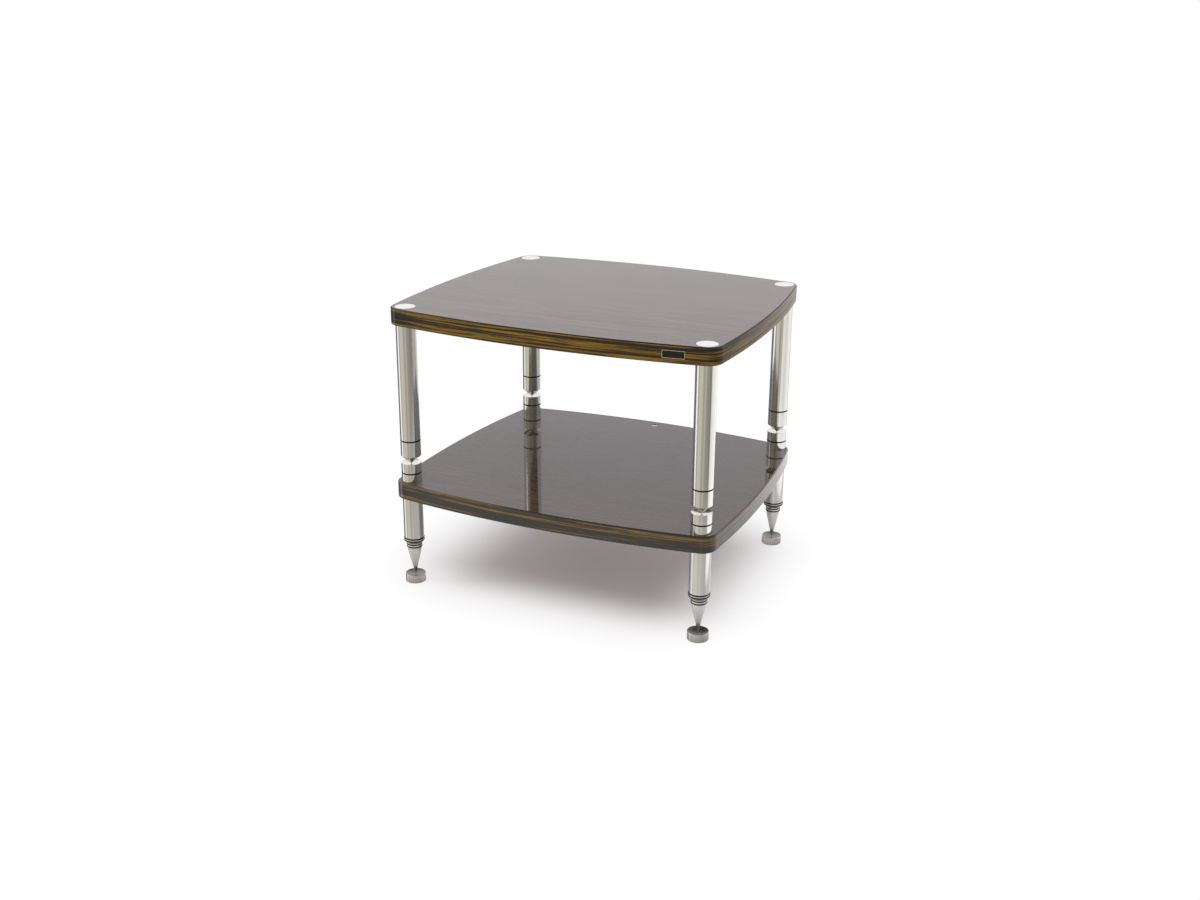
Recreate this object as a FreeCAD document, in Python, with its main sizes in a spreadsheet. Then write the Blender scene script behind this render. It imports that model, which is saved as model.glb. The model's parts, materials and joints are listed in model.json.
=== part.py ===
"""Two-tier hi-fi rack: glossy veneered shelves on four stainless legs with spikes, cups and floor pads.

Millimetres. +Z up, front towards -Y, +X to the right seen from the front. The origin lies on the floor under
the middle of the rack. Every piece is drawn at its own seat and placed by the stack of heights in leg_levels.
"""

import FreeCAD, Part

import math
import os
from types import SimpleNamespace

import Sketcher
from FreeCAD import Vector

# Driving dimensions in millimetres, each with a word on what it measures.
SIZES = {
    # shelves: four bowed sides between corners that are rounded afterwards
    "shelf_thickness": (34.0, "board with veneer and lacquer"),
    "shelf_front_width": (670.0, "between the sharp front corners"),
    "shelf_rear_width": (628.0, "between the sharp rear corners"),
    "shelf_depth": (540.0, "from the front corners to the rear corners"),
    "front_bow": (28.5, "how far the front edge stands out of its chord"),
    "rear_bow": (28.5, "how far the rear edge stands out of its chord"),
    "side_bow": (18.0, "how far each side edge stands out of its chord"),
    "shelf_corner_radius": (30.0, "rounded corners seen from above"),
    "shelf_arris_radius": (2.6, "rounding of the top and bottom arrises"),
    # where the legs stand, measured in from the sharp corners
    "front_leg_inset": (27.5, "leg axis from the front corner, along the width"),
    "rear_leg_inset": (22.75, "leg axis from the rear corner, along the width"),
    "leg_depth_inset": (22.0, "leg axis from the corner, along the depth"),
    # columns
    "column_radius": (20.0, "outside of every column, cup, spacer and nose"),
    "column_wall": (3.0, "tube wall"),
    "lower_column_length": (86.8, "tube under the lower shelf"),
    "upper_column_length": (234.35, "tube under the top shelf"),
    "plug_length": (25.0, "plugs in the tube ends"),
    "plug_slack": (0.05, "between a plug and its tube, filled by the joint"),
    # studs and threads, drawn at their major diameter
    "stud_radius": (5.0, "M10 studs"),
    "stud_chamfer": (0.8, "lead at both ends of a stud"),
    "stud_grip": (20.0, "length of a stud inside a column plug"),
    "thread_slack": (0.05, "between a thread and its tapped hole"),
    "stud_hole_slack": (0.5, "between a stud and a plain hole"),
    # black rings
    "ring_thickness": (2.5, "section of every O-ring"),
    "ring_slack": (0.1, "between a ring and the walls of its seat"),
    "ring_proud": (0.8, "how far the foot rings stand out of the metal"),
    "flush_ring_proud": (0.15, "how far the rings of the cup and the nose stand out"),
    # floor pad
    "pad_radius": (20.5, "outside of the floor pad"),
    "pad_height": (17.0, "floor to rim"),
    "pad_dish_depth": (3.5, "rim to the middle of the dish"),
    "pad_rim_width": (1.2, "flat ring around the dish"),
    "pad_foot_chamfer": (0.8, "lower edge of the pad"),
    # floor spike, from its point upwards
    "point_gap": (0.3, "between a point and the dish under it"),
    "point_radius": (0.6, "blunted tip of every point"),
    "spike_cone_length": (54.4, "long cone"),
    "spike_cone_radius": (13.5, "root of the long cone"),
    "spike_step_height": (6.4, "plain stretch above the cone"),
    "spike_land_radius": (15.0, "land that carries the two small rings"),
    "spike_land_height": (10.4, "length of that land"),
    "spike_ring_inset": (0.95, "foot of the land to its first groove"),
    "spike_ring_pitch": (5.4, "from one small ring to the next"),
    "spike_shoulder_height": (4.6, "cone from the land to the flange"),
    "spike_flange_height": (0.4, "rim of the flange"),
    "shank_radius": (6.0, "M12 levelling thread"),
    "shank_length": (26.0, "thread above the flange's ring seat"),
    "shank_chamfer": (1.0, "lead of the levelling thread"),
    # lock collar
    "collar_thickness": (2.1, "visible disc between the two large rings"),
    "collar_bore_slack": (0.2, "between the collar and the turning shank"),
    "seat_gap": (0.1, "between flange, collar and column at rest"),
    # seat of the cup on the lower shelf
    "recess_depth": (1.5, "locating recess in the deck under the spacer"),
    "recess_slack": (0.25, "between the recess and the spacer, and around a cap"),
    "spacer_height": (18.45, "floor of the recess to the ring seat"),
    "cup_height": (18.85, "ring seat to rim"),
    "cup_dish_depth": (3.0, "rim to the middle of the dish"),
    "cup_rim_width": (1.0, "flat ring around the dish"),
    "cup_tapping_depth": (10.0, "tapped hole in the cup"),
    "edge_break": (0.5, "small chamfers on turned edges"),
    # spike nose of the upper level
    "nose_cone_height": (17.0, "point to the lower edge of the nose"),
    "nose_edge_chamfer": (0.8, "lower edge of the nose"),
    "nose_cylinder_height": (30.85, "lower edge to the ring seat"),
    "nose_tapping_depth": (16.0, "tapped hole in the nose"),
    # caps in the top shelf
    "cap_thickness": (6.0, "disc of the cap"),
    "cap_boss_radius": (9.0, "boss under the disc"),
    "cap_boss_height": (10.0, "length of that boss"),
    "cap_tapping_depth": (12.0, "tapped hole from the foot of the boss"),
    "stud_end_gap": (1.0, "end of a stud to the floor of its tapped hole"),
    # badge plate on the front edge
    "badge_side_inset": (77.5, "middle of the plate from the sharp front corner, along the width"),
    "badge_width": (42.0, "along the edge"),
    "badge_height": (14.5, "across the edge"),
    "badge_thickness": (1.0, "plate with its raised frame"),
    "badge_frame_width": (0.9, "raised frame"),
    "badge_frame_height": (0.35, "frame above the field"),
    "badge_corner_radius": (1.5, "corners of the plate"),
    "badge_glue": (0.05, "adhesive under the plate"),
    # round spirit level in the lower shelf
    "level_radius": (7.5, "outside of the level's case"),
    "level_height": (8.0, "height of the case"),
    "level_sink": (0.8, "rim of the case below the deck"),
    "level_slack": (0.15, "between the case and its hole"),
    "level_wall": (0.8, "wall and floor of the case"),
    "level_lens_thickness": (1.6, "clear window"),
    "level_rear_inset": (24.2, "centre of the level from the rear edge"),
    "bubble_radius": (2.0, "bubble under the window"),
    "bubble_depth": (0.9, "bubble under the window"),
}

SHEET = "Sizes"
CORNERS = {"front_left": (-1, -1), "front_right": (1, -1), "rear_left": (-1, 1), "rear_right": (1, 1)}
FULL_TURN = 360.0
FLAT = "FlatFace"
IN_LINE = 1e-6  # below this, two ends count as in line


class Length:
    """A size that carries its value in millimetres and the sheet formula that gives it."""

    def __init__(self, value, formula):
        self.value = value
        self.formula = formula

    def __add__(self, other):
        return Length(self.value + other.value, f"({self.formula} + {other.formula})")

    def __sub__(self, other):
        return Length(self.value - other.value, f"({self.formula} - {other.formula})")

    def __neg__(self):
        return Length(-self.value, f"(-1 * {self.formula})")

    def __mul__(self, factor):
        """Times a plain number."""
        return Length(self.value * factor, f"({self.formula} * {factor})")

    __rmul__ = __mul__

    def __truediv__(self, divisor):
        """Over a plain number."""
        return Length(self.value / divisor, f"({self.formula} / {divisor})")


ZERO = Length(0.0, "0")


def bow_radius(chord, bow):
    """Radius of the arc that rises by the bow over its chord."""
    value = (chord.value**2 / 4 + bow.value**2) / (2 * bow.value)
    return Length(value, f"((({chord.formula})^2 / 4 + ({bow.formula})^2) / (2 * {bow.formula}))")


def diagonal(run, rise):
    """Length of the straight line with this run and rise."""
    return Length(math.hypot(run.value, rise.value), f"sqrt(({run.formula})^2 + ({rise.formula})^2)")


def leg_of(hypotenuse, side):
    """The other short side of a right triangle."""
    value = math.sqrt(hypotenuse.value**2 - side.value**2)
    return Length(value, f"sqrt(({hypotenuse.formula})^2 - ({side.formula})^2)")


# The document and its sheet

def open_document():
    """New document with the driving dimensions in a spreadsheet, and the same sizes as Lengths."""
    document = FreeCAD.newDocument("hifi_rack")
    sheet = document.addObject("Spreadsheet::Sheet", SHEET)
    for row, (alias, (value, note)) in enumerate(SIZES.items(), start=1):
        sheet.set(f"A{row}", alias)
        sheet.set(f"B{row}", str(value))
        sheet.set(f"C{row}", note)
        sheet.setAlias(f"B{row}", alias)
    document.recompute()
    lengths = {alias: Length(value, f"{SHEET}.{alias}") for alias, (value, note) in SIZES.items()}
    return document, SimpleNamespace(**lengths)


doc, s = open_document()
nodes = {}


def keep(node, label):
    """Names a finished sub-part, which is written to its own file."""
    node.Label = label
    nodes[label] = node
    return node


def bind(target, path, length):
    """Ties a property to the sheet."""
    target.setExpression(path, length.formula)


def place(target, x, y, z):
    """Puts a sub-part at its seat."""
    bind(target, "Placement.Base.x", x)
    bind(target, "Placement.Base.y", y)
    bind(target, "Placement.Base.z", z)


# Sketches

class Corner:
    """A corner of an outline: its place, and the radius of the arc that leads on to the next corner, if any."""

    def __init__(self, x, y, arc=None, hollow=False):
        self.x = x
        self.y = y
        self.arc = arc
        self.hollow = hollow


def new_sketch(body, name, role, height=None):
    """Sketch on one of the body's own origin planes, lifted to a height where one is given."""
    plane = next(f for f in body.Origin.OriginFeatures if f.Role == role)
    sketch = body.newObject("Sketcher::SketchObject", name)
    sketch.AttachmentSupport = (plane, [""])
    sketch.MapMode = FLAT
    if height is not None:
        bind(sketch, "AttachmentOffset.Base.z", height)
    return sketch


def fix_point(sketch, geometry, end, x, y):
    """Ties a point of the sketch to its two coordinates."""
    for kind, axis, length in (("DistanceX", -2, x), ("DistanceY", -1, y)):
        if length is ZERO:
            sketch.addConstraint(Sketcher.Constraint("PointOnObject", geometry, end, axis))
            continue
        index = sketch.addConstraint(Sketcher.Constraint(kind, -1, 1, geometry, end, length.value))
        bind(sketch, f"Constraints[{index}]", length)


def edge_between(corner, following):
    """Straight or round edge to the next corner, and which of its ends comes first on the way round."""
    start = Vector(corner.x.value, corner.y.value, 0)
    end = Vector(following.x.value, following.y.value, 0)
    if corner.arc is None:
        return Part.LineSegment(start, end), (1, 2)
    chord = end - start
    towards_centre = Vector(-chord.y, chord.x, 0).normalize()
    if corner.hollow:
        towards_centre = -towards_centre
    rise = math.sqrt(corner.arc.value**2 - (chord.Length / 2) ** 2)
    centre = (start + end) / 2 + towards_centre * rise
    first, last = (end, start) if corner.hollow else (start, end)
    angles = [math.atan2(point.y - centre.y, point.x - centre.x) for point in (first, last)]
    circle = Part.Circle(centre, Vector(0, 0, 1), corner.arc.value)
    return Part.ArcOfCircle(circle, angles[0], angles[1]), (2, 1) if corner.hollow else (1, 2)


def draw_outline(sketch, corners):
    """Closed outline through the corners, which are given anticlockwise."""
    ends = []
    for index, corner in enumerate(corners):
        edge, order = edge_between(corner, corners[(index + 1) % len(corners)])
        sketch.addGeometry(edge)
        ends.append(order)
    for index in range(len(corners)):
        after = (index + 1) % len(corners)
        sketch.addConstraint(Sketcher.Constraint("Coincident", index, ends[index][1], after, ends[after][0]))
    for index, corner in enumerate(corners):
        fix_point(sketch, index, ends[index][0], corner.x, corner.y)
        if corner.arc is not None:
            radius = sketch.addConstraint(Sketcher.Constraint("Radius", index, corner.arc.value))
            bind(sketch, f"Constraints[{radius}]", corner.arc)


def draw_circles(sketch, centres, radius):
    """Equal circles at the given places."""
    for x, y in centres:
        centre = Vector(x.value, y.value, 0)
        index = sketch.addGeometry(Part.Circle(centre, Vector(0, 0, 1), radius.value))
        fix_point(sketch, index, 3, x, y)
        size = sketch.addConstraint(Sketcher.Constraint("Radius", index, radius.value))
        bind(sketch, f"Constraints[{size}]", radius)


# Turned pieces and rings

def turned(name, corners, x, y, z):
    """A piece off the lathe: its half section, radius by height, turned about its own axis."""
    body = doc.addObject("PartDesign::Body", name)
    body.Label = name
    section = new_sketch(body, f"{name}_section", "XZ_Plane")
    draw_outline(section, corners)
    revolution = body.newObject("PartDesign::Revolution", f"{name}_turned")
    revolution.Profile = section
    revolution.ReferenceAxis = (section, ["V_Axis"])
    revolution.Angle = FULL_TURN
    place(body, x, y, z)
    return body


def dish_radius(rim, depth):
    """Radius of the ball that cuts a dish of this rim radius and depth."""
    return bow_radius(2 * rim, depth)


def ring(name, outer, x, y, middle):
    """O-ring lying level, with its outer radius and the height of its middle."""
    torus = doc.addObject("Part::Torus", name)
    torus.Label = name
    bind(torus, "Radius1", outer - s.ring_thickness / 2)
    bind(torus, "Radius2", s.ring_thickness / 2)
    place(torus, x, y, middle)
    return torus


def group(label, members):
    """Separate solids of one kind in one sub-part."""
    compound = doc.addObject("Part::Compound", label)
    compound.Links = members
    return keep(compound, label)


def stud(name, length, x, y, z):
    """Threaded stud, drawn at its major diameter."""
    lead = s.stud_radius - s.stud_chamfer
    section = [
        Corner(ZERO, ZERO),
        Corner(lead, ZERO),
        Corner(s.stud_radius, s.stud_chamfer),
        Corner(s.stud_radius, length - s.stud_chamfer),
        Corner(lead, length),
        Corner(ZERO, length),
    ]
    return turned(name, section, x, y, z)


def tube(name, length, x, y, z):
    """Column tube with broken outer edges."""
    bore = s.column_radius - s.column_wall
    chamfered = s.column_radius - s.edge_break
    section = [
        Corner(bore, ZERO),
        Corner(chamfered, ZERO),
        Corner(s.column_radius, s.edge_break),
        Corner(s.column_radius, length - s.edge_break),
        Corner(chamfered, length),
        Corner(bore, length),
    ]
    return turned(name, section, x, y, z)


def plug(name, hole, x, y, z):
    """Plug in a column end, tapped right through."""
    outside = s.column_radius - s.column_wall - s.plug_slack
    section = [
        Corner(hole, ZERO),
        Corner(outside, ZERO),
        Corner(outside, s.plug_length),
        Corner(hole, s.plug_length),
    ]
    return turned(name, section, x, y, z)


# Heights of one leg, from the floor up

def leg_levels():
    """Where each piece of a leg begins, from the floor to the top deck."""
    at = SimpleNamespace()
    at.ring_seat = s.ring_thickness + 2 * s.ring_slack
    at.spike_point = s.pad_height - s.pad_dish_depth + s.point_gap
    at.spike_land = at.spike_point + s.spike_cone_length + s.spike_step_height
    at.flange = at.spike_land + s.spike_land_height + s.spike_shoulder_height + s.spike_flange_height
    at.collar = at.flange + at.ring_seat + s.seat_gap
    at.lower_column = at.collar + s.collar_thickness + at.ring_seat + s.seat_gap
    at.lower_shelf = at.lower_column + s.lower_column_length
    at.deck = at.lower_shelf + s.shelf_thickness
    at.spacer = at.deck - s.recess_depth
    at.spacer_top = at.spacer + s.spacer_height
    at.cup = at.spacer_top + at.ring_seat
    at.cup_rim = at.cup + s.cup_height
    at.nose_point = at.cup_rim - s.cup_dish_depth + s.point_gap
    at.nose_top = at.nose_point + s.nose_cone_height + s.nose_edge_chamfer + s.nose_cylinder_height
    at.upper_column = at.nose_top + at.ring_seat
    at.top_shelf = at.upper_column + s.upper_column_length
    at.top_deck = at.top_shelf + s.shelf_thickness
    return at


at = leg_levels()


def leg_place(corner):
    """Where a leg's axis stands on the floor."""
    right, back = CORNERS[corner]
    if back > 0:
        out = s.shelf_rear_width / 2 - s.rear_leg_inset
    else:
        out = s.shelf_front_width / 2 - s.front_leg_inset
    return out * right, (s.shelf_depth / 2 - s.leg_depth_inset) * back


# The pieces of one leg

FOOT_RING = s.column_radius + s.ring_proud
LAND_RING = s.spike_land_radius + s.ring_proud
FLUSH_RING = s.column_radius + s.flush_ring_proud


def ring_seat_radius(outer):
    """Radius of the metal inside a ring."""
    return outer - s.ring_thickness - s.ring_slack


def floor_pad(corner, x, y):
    """Loose pad with a dished top for the point of the spike."""
    rim = s.pad_radius - s.pad_rim_width
    section = [
        Corner(ZERO, ZERO),
        Corner(s.pad_radius - s.pad_foot_chamfer, ZERO),
        Corner(s.pad_radius, s.pad_foot_chamfer),
        Corner(s.pad_radius, s.pad_height - s.edge_break),
        Corner(s.pad_radius - s.edge_break, s.pad_height),
        Corner(rim, s.pad_height, dish_radius(rim, s.pad_dish_depth), hollow=True),
        Corner(ZERO, s.pad_height - s.pad_dish_depth),
    ]
    keep(turned(f"floor_pad_{corner}", section, x, y, ZERO), f"floor_pad_{corner}")


def floor_spike(corner, x, y):
    """Long cone, stepped land with two grooves, flange and levelling thread, in one piece."""
    cone = s.spike_cone_length
    land = cone + s.spike_step_height
    land_top = land + s.spike_land_height
    shoulder = land_top + s.spike_shoulder_height
    flange = shoulder + s.spike_flange_height
    seat = flange + at.ring_seat
    end = seat + s.shank_length
    groove = ring_seat_radius(LAND_RING)
    first = land + s.spike_ring_inset
    second = first + s.spike_ring_pitch
    section = [
        Corner(ZERO, ZERO),
        Corner(s.point_radius, ZERO),
        Corner(s.spike_cone_radius, cone),
        Corner(s.spike_cone_radius, land),
        Corner(s.spike_land_radius, land),
        Corner(s.spike_land_radius, first),
        Corner(groove, first),
        Corner(groove, first + at.ring_seat),
        Corner(s.spike_land_radius, first + at.ring_seat),
        Corner(s.spike_land_radius, second),
        Corner(groove, second),
        Corner(groove, second + at.ring_seat),
        Corner(s.spike_land_radius, second + at.ring_seat),
        Corner(s.spike_land_radius, land_top),
        Corner(s.column_radius, shoulder),
        Corner(s.column_radius, flange),
        Corner(ring_seat_radius(FOOT_RING), flange),
        Corner(ring_seat_radius(FOOT_RING), seat),
        Corner(s.shank_radius, seat),
        Corner(s.shank_radius, end - s.shank_chamfer),
        Corner(s.shank_radius - s.shank_chamfer, end),
        Corner(ZERO, end),
    ]
    keep(turned(f"floor_spike_{corner}", section, x, y, at.spike_point), f"floor_spike_{corner}")
    small = at.spike_land + s.spike_ring_inset + at.ring_seat / 2
    group(
        f"spike_rings_{corner}",
        [
            ring(f"land_ring_low_{corner}", LAND_RING, x, y, small),
            ring(f"land_ring_high_{corner}", LAND_RING, x, y, small + s.spike_ring_pitch),
            ring(f"flange_ring_{corner}", FOOT_RING, x, y, at.flange + at.ring_seat / 2),
        ],
    )


def lock_collar(corner, x, y):
    """Thin disc over the spike's flange, with the seat of the upper large ring on top."""
    bore = s.shank_radius + s.collar_bore_slack
    top = s.collar_thickness + at.ring_seat
    section = [
        Corner(bore, ZERO),
        Corner(s.column_radius, ZERO),
        Corner(s.column_radius, s.collar_thickness),
        Corner(ring_seat_radius(FOOT_RING), s.collar_thickness),
        Corner(ring_seat_radius(FOOT_RING), top),
        Corner(bore, top),
    ]
    keep(turned(f"lock_collar_{corner}", section, x, y, at.collar), f"lock_collar_{corner}")
    middle = at.collar + s.collar_thickness + at.ring_seat / 2
    keep(ring(f"collar_ring_{corner}", FOOT_RING, x, y, middle), f"collar_ring_{corner}")


def seat_spacer(corner, x, y):
    """Spacer between the lower shelf and the cup, with the ring seat on top."""
    hole = s.stud_radius + s.stud_hole_slack
    top = s.spacer_height + at.ring_seat
    section = [
        Corner(hole, ZERO),
        Corner(s.column_radius - s.edge_break, ZERO),
        Corner(s.column_radius, s.edge_break),
        Corner(s.column_radius, s.spacer_height),
        Corner(ring_seat_radius(FLUSH_RING), s.spacer_height),
        Corner(ring_seat_radius(FLUSH_RING), top),
        Corner(hole, top),
    ]
    keep(turned(f"seat_spacer_{corner}", section, x, y, at.spacer), f"seat_spacer_{corner}")


def receiver_cup(corner, x, y):
    """Cup with a dished top that takes the point of the upper level."""
    tapping = s.stud_radius + s.thread_slack
    rim = s.column_radius - s.cup_rim_width
    section = [
        Corner(tapping, ZERO),
        Corner(s.column_radius, ZERO),
        Corner(s.column_radius, s.cup_height - s.edge_break),
        Corner(s.column_radius - s.edge_break, s.cup_height),
        Corner(rim, s.cup_height, dish_radius(rim, s.cup_dish_depth), hollow=True),
        Corner(ZERO, s.cup_height - s.cup_dish_depth),
        Corner(ZERO, s.cup_tapping_depth),
        Corner(tapping, s.cup_tapping_depth),
    ]
    keep(turned(f"receiver_cup_{corner}", section, x, y, at.cup), f"receiver_cup_{corner}")


def spike_nose(corner, x, y):
    """Foot of the upper column: a cylinder with a blunt cone, and a ring seat on top."""
    tapping = s.stud_radius + s.thread_slack
    edge = s.nose_cone_height + s.nose_edge_chamfer
    shoulder = edge + s.nose_cylinder_height
    top = shoulder + at.ring_seat
    section = [
        Corner(ZERO, ZERO),
        Corner(s.point_radius, ZERO),
        Corner(s.column_radius - s.nose_edge_chamfer, s.nose_cone_height),
        Corner(s.column_radius, edge),
        Corner(s.column_radius, shoulder),
        Corner(ring_seat_radius(FLUSH_RING), shoulder),
        Corner(ring_seat_radius(FLUSH_RING), top),
        Corner(tapping, top),
        Corner(tapping, top - s.nose_tapping_depth),
        Corner(ZERO, top - s.nose_tapping_depth),
    ]
    keep(turned(f"spike_nose_{corner}", section, x, y, at.nose_point), f"spike_nose_{corner}")


def top_cap(corner, x, y):
    """Flush cap: a disc with a tapped boss that pulls the shelf down on the column."""
    tapping = s.stud_radius + s.thread_slack
    top = s.cap_boss_height + s.cap_thickness
    section = [
        Corner(tapping, ZERO),
        Corner(s.cap_boss_radius, ZERO),
        Corner(s.cap_boss_radius, s.cap_boss_height),
        Corner(s.column_radius, s.cap_boss_height),
        Corner(s.column_radius, top - s.edge_break),
        Corner(s.column_radius - s.edge_break, top),
        Corner(ZERO, top),
        Corner(ZERO, s.cap_tapping_depth),
        Corner(tapping, s.cap_tapping_depth),
    ]
    keep(turned(f"top_cap_{corner}", section, x, y, at.top_deck - top), f"top_cap_{corner}")


def leg(corner, hidden):
    """All pieces of one leg. Those that share a sub-part with their like are added to the hidden lists."""
    x, y = leg_place(corner)
    tapping = s.stud_radius + s.thread_slack
    levelling = s.shank_radius + s.thread_slack
    floor_pad(corner, x, y)
    floor_spike(corner, x, y)
    lock_collar(corner, x, y)
    seat_spacer(corner, x, y)
    receiver_cup(corner, x, y)
    spike_nose(corner, x, y)
    top_cap(corner, x, y)
    for name, length, foot in (
        ("lower_column", s.lower_column_length, at.lower_column),
        ("upper_column", s.upper_column_length, at.upper_column),
    ):
        keep(tube(f"{name}_{corner}", length, x, y, foot), f"{name}_{corner}")

    def add(label, member):
        hidden.setdefault(label, []).append(member)

    add("levelling_plugs", plug(f"levelling_plug_{corner}", levelling, x, y, at.lower_column))
    lower_plug = at.lower_shelf - s.plug_length
    add("lower_column_plugs", plug(f"lower_plug_{corner}", tapping, x, y, lower_plug))
    add("upper_column_plugs", plug(f"upper_foot_plug_{corner}", tapping, x, y, at.upper_column))
    upper_plug = at.top_shelf - s.plug_length
    add("upper_column_plugs", plug(f"upper_head_plug_{corner}", tapping, x, y, upper_plug))

    shelf_stud = at.lower_shelf - s.stud_grip
    reach = at.cup + s.cup_tapping_depth - s.stud_end_gap - shelf_stud
    add("shelf_studs", stud(f"shelf_stud_{corner}", reach, x, y, shelf_stud))
    nose_stud = at.upper_column - s.nose_tapping_depth + s.stud_end_gap
    reach = at.upper_column + s.stud_grip - nose_stud
    add("nose_studs", stud(f"nose_stud_{corner}", reach, x, y, nose_stud))
    top_stud = at.top_shelf - s.stud_grip
    cap_floor = at.top_deck - s.cap_thickness - s.cap_boss_height + s.cap_tapping_depth
    reach = cap_floor - s.stud_end_gap - top_stud
    add("top_studs", stud(f"top_stud_{corner}", reach, x, y, top_stud))

    middle = at.ring_seat / 2
    add("receiver_rings", ring(f"receiver_ring_{corner}", FLUSH_RING, x, y, at.spacer_top + middle))
    add("nose_rings", ring(f"nose_ring_{corner}", FLUSH_RING, x, y, at.nose_top + middle))


# Shelves

def shelf_corners():
    """The bowed outline, anticlockwise from the front left corner."""
    front = s.shelf_front_width / 2
    rear = s.shelf_rear_width / 2
    half = s.shelf_depth / 2
    side = bow_radius(diagonal(s.shelf_depth, front - rear), s.side_bow)
    return [
        Corner(-front, -half, bow_radius(s.shelf_front_width, s.front_bow)),
        Corner(front, -half, side),
        Corner(rear, half, bow_radius(s.shelf_rear_width, s.rear_bow)),
        Corner(-rear, half, side),
    ]


def edge_names(feature, wanted):
    """Names of the feature's edges whose two ends pass the test."""
    names = []
    for index, edge in enumerate(feature.Shape.Edges, start=1):
        ends = [vertex.Point for vertex in edge.Vertexes]
        if len(ends) == 2 and wanted(ends[0], ends[1]):
            names.append(f"Edge{index}")
    return names


def is_upright(first, second):
    """True for the four upright edges between the sides."""
    return (second - first).cross(Vector(0, 0, 1)).Length < IN_LINE


def is_level(first, second):
    """True for the edges around the top and the bottom."""
    return abs(first.z - second.z) < IN_LINE


def round_edges(body, name, base, edges, radius):
    """Fillet on the named edges of the feature before it."""
    fillet = body.newObject("PartDesign::Fillet", name)
    fillet.Base = (base, edges)
    bind(fillet, "Radius", radius)
    doc.recompute()
    return fillet


def shelf(name, z, hole, recess):
    """Shelf board with rounded corners and arrises, and a counterbored hole over every leg."""
    body = doc.addObject("PartDesign::Body", name)
    outline = new_sketch(body, f"{name}_outline", "XY_Plane")
    draw_outline(outline, shelf_corners())
    board = body.newObject("PartDesign::Pad", f"{name}_board")
    board.Profile = outline
    bind(board, "Length", s.shelf_thickness)
    doc.recompute()
    corners = round_edges(body, f"{name}_corners", board, edge_names(board, is_upright), s.shelf_corner_radius)
    round_edges(body, f"{name}_arrises", corners, edge_names(corners, is_level), s.shelf_arris_radius)
    centres = new_sketch(body, f"{name}_leg_centres", "XY_Plane", s.shelf_thickness)
    draw_circles(centres, [leg_place(corner) for corner in CORNERS], hole)
    doc.recompute()
    holes = body.newObject("PartDesign::Hole", f"{name}_leg_holes")
    holes.Profile = centres
    doc.recompute()
    holes.ThreadType = "None"
    holes.DepthType = "ThroughAll"
    holes.HoleCutType = "Counterbore"
    bind(holes, "Diameter", 2 * hole)
    bind(holes, "HoleCutDiameter", 2 * (s.column_radius + s.recess_slack))
    bind(holes, "HoleCutDepth", recess)
    place(body, ZERO, ZERO, z)
    doc.recompute()
    return keep(body, name)


def level_centre():
    """Place of the spirit level, measured in from the middle of the rear edge."""
    return ZERO, s.shelf_depth / 2 + s.rear_bow - s.level_rear_inset


def cut_level_recess(body):
    """Blind hole for the spirit level in the lower shelf."""
    mouth = new_sketch(body, "level_mouth", "XY_Plane", s.shelf_thickness)
    draw_circles(mouth, [level_centre()], s.level_radius + s.level_slack)
    recess = body.newObject("PartDesign::Pocket", "level_recess")
    recess.Profile = mouth
    bind(recess, "Length", s.level_sink + s.level_height)
    doc.recompute()


def spirit_level():
    """Round level: a case, the liquid with its bubble, and a clear window."""
    x, y = level_centre()
    foot = at.deck - s.level_sink - s.level_height
    inside = s.level_radius - s.level_wall
    under_window = s.level_height - s.level_lens_thickness
    case = [
        Corner(ZERO, ZERO),
        Corner(s.level_radius, ZERO),
        Corner(s.level_radius, s.level_height),
        Corner(inside, s.level_height),
        Corner(inside, s.level_wall),
        Corner(ZERO, s.level_wall),
    ]
    keep(turned("level_case", case, x, y, foot), "level_case")
    liquid = [
        Corner(ZERO, s.level_wall),
        Corner(inside, s.level_wall),
        Corner(inside, under_window),
        Corner(s.bubble_radius, under_window, dish_radius(s.bubble_radius, s.bubble_depth), hollow=True),
        Corner(ZERO, under_window - s.bubble_depth),
    ]
    keep(turned("level_liquid", liquid, x, y, foot), "level_liquid")
    window = [
        Corner(ZERO, under_window),
        Corner(inside, under_window),
        Corner(inside, s.level_height),
        Corner(ZERO, s.level_height),
    ]
    keep(turned("level_window", window, x, y, foot), "level_window")


# Badge plate

def centred_rectangle(width, height):
    """Corners of a rectangle about the middle, anticlockwise."""
    return [
        Corner(-width / 2, -height / 2),
        Corner(width / 2, -height / 2),
        Corner(width / 2, height / 2),
        Corner(-width / 2, height / 2),
    ]


def is_across_plate(first, second):
    """True for the short edges through the plate's thickness."""
    return (second - first).cross(Vector(0, 1, 0)).Length < IN_LINE


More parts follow.
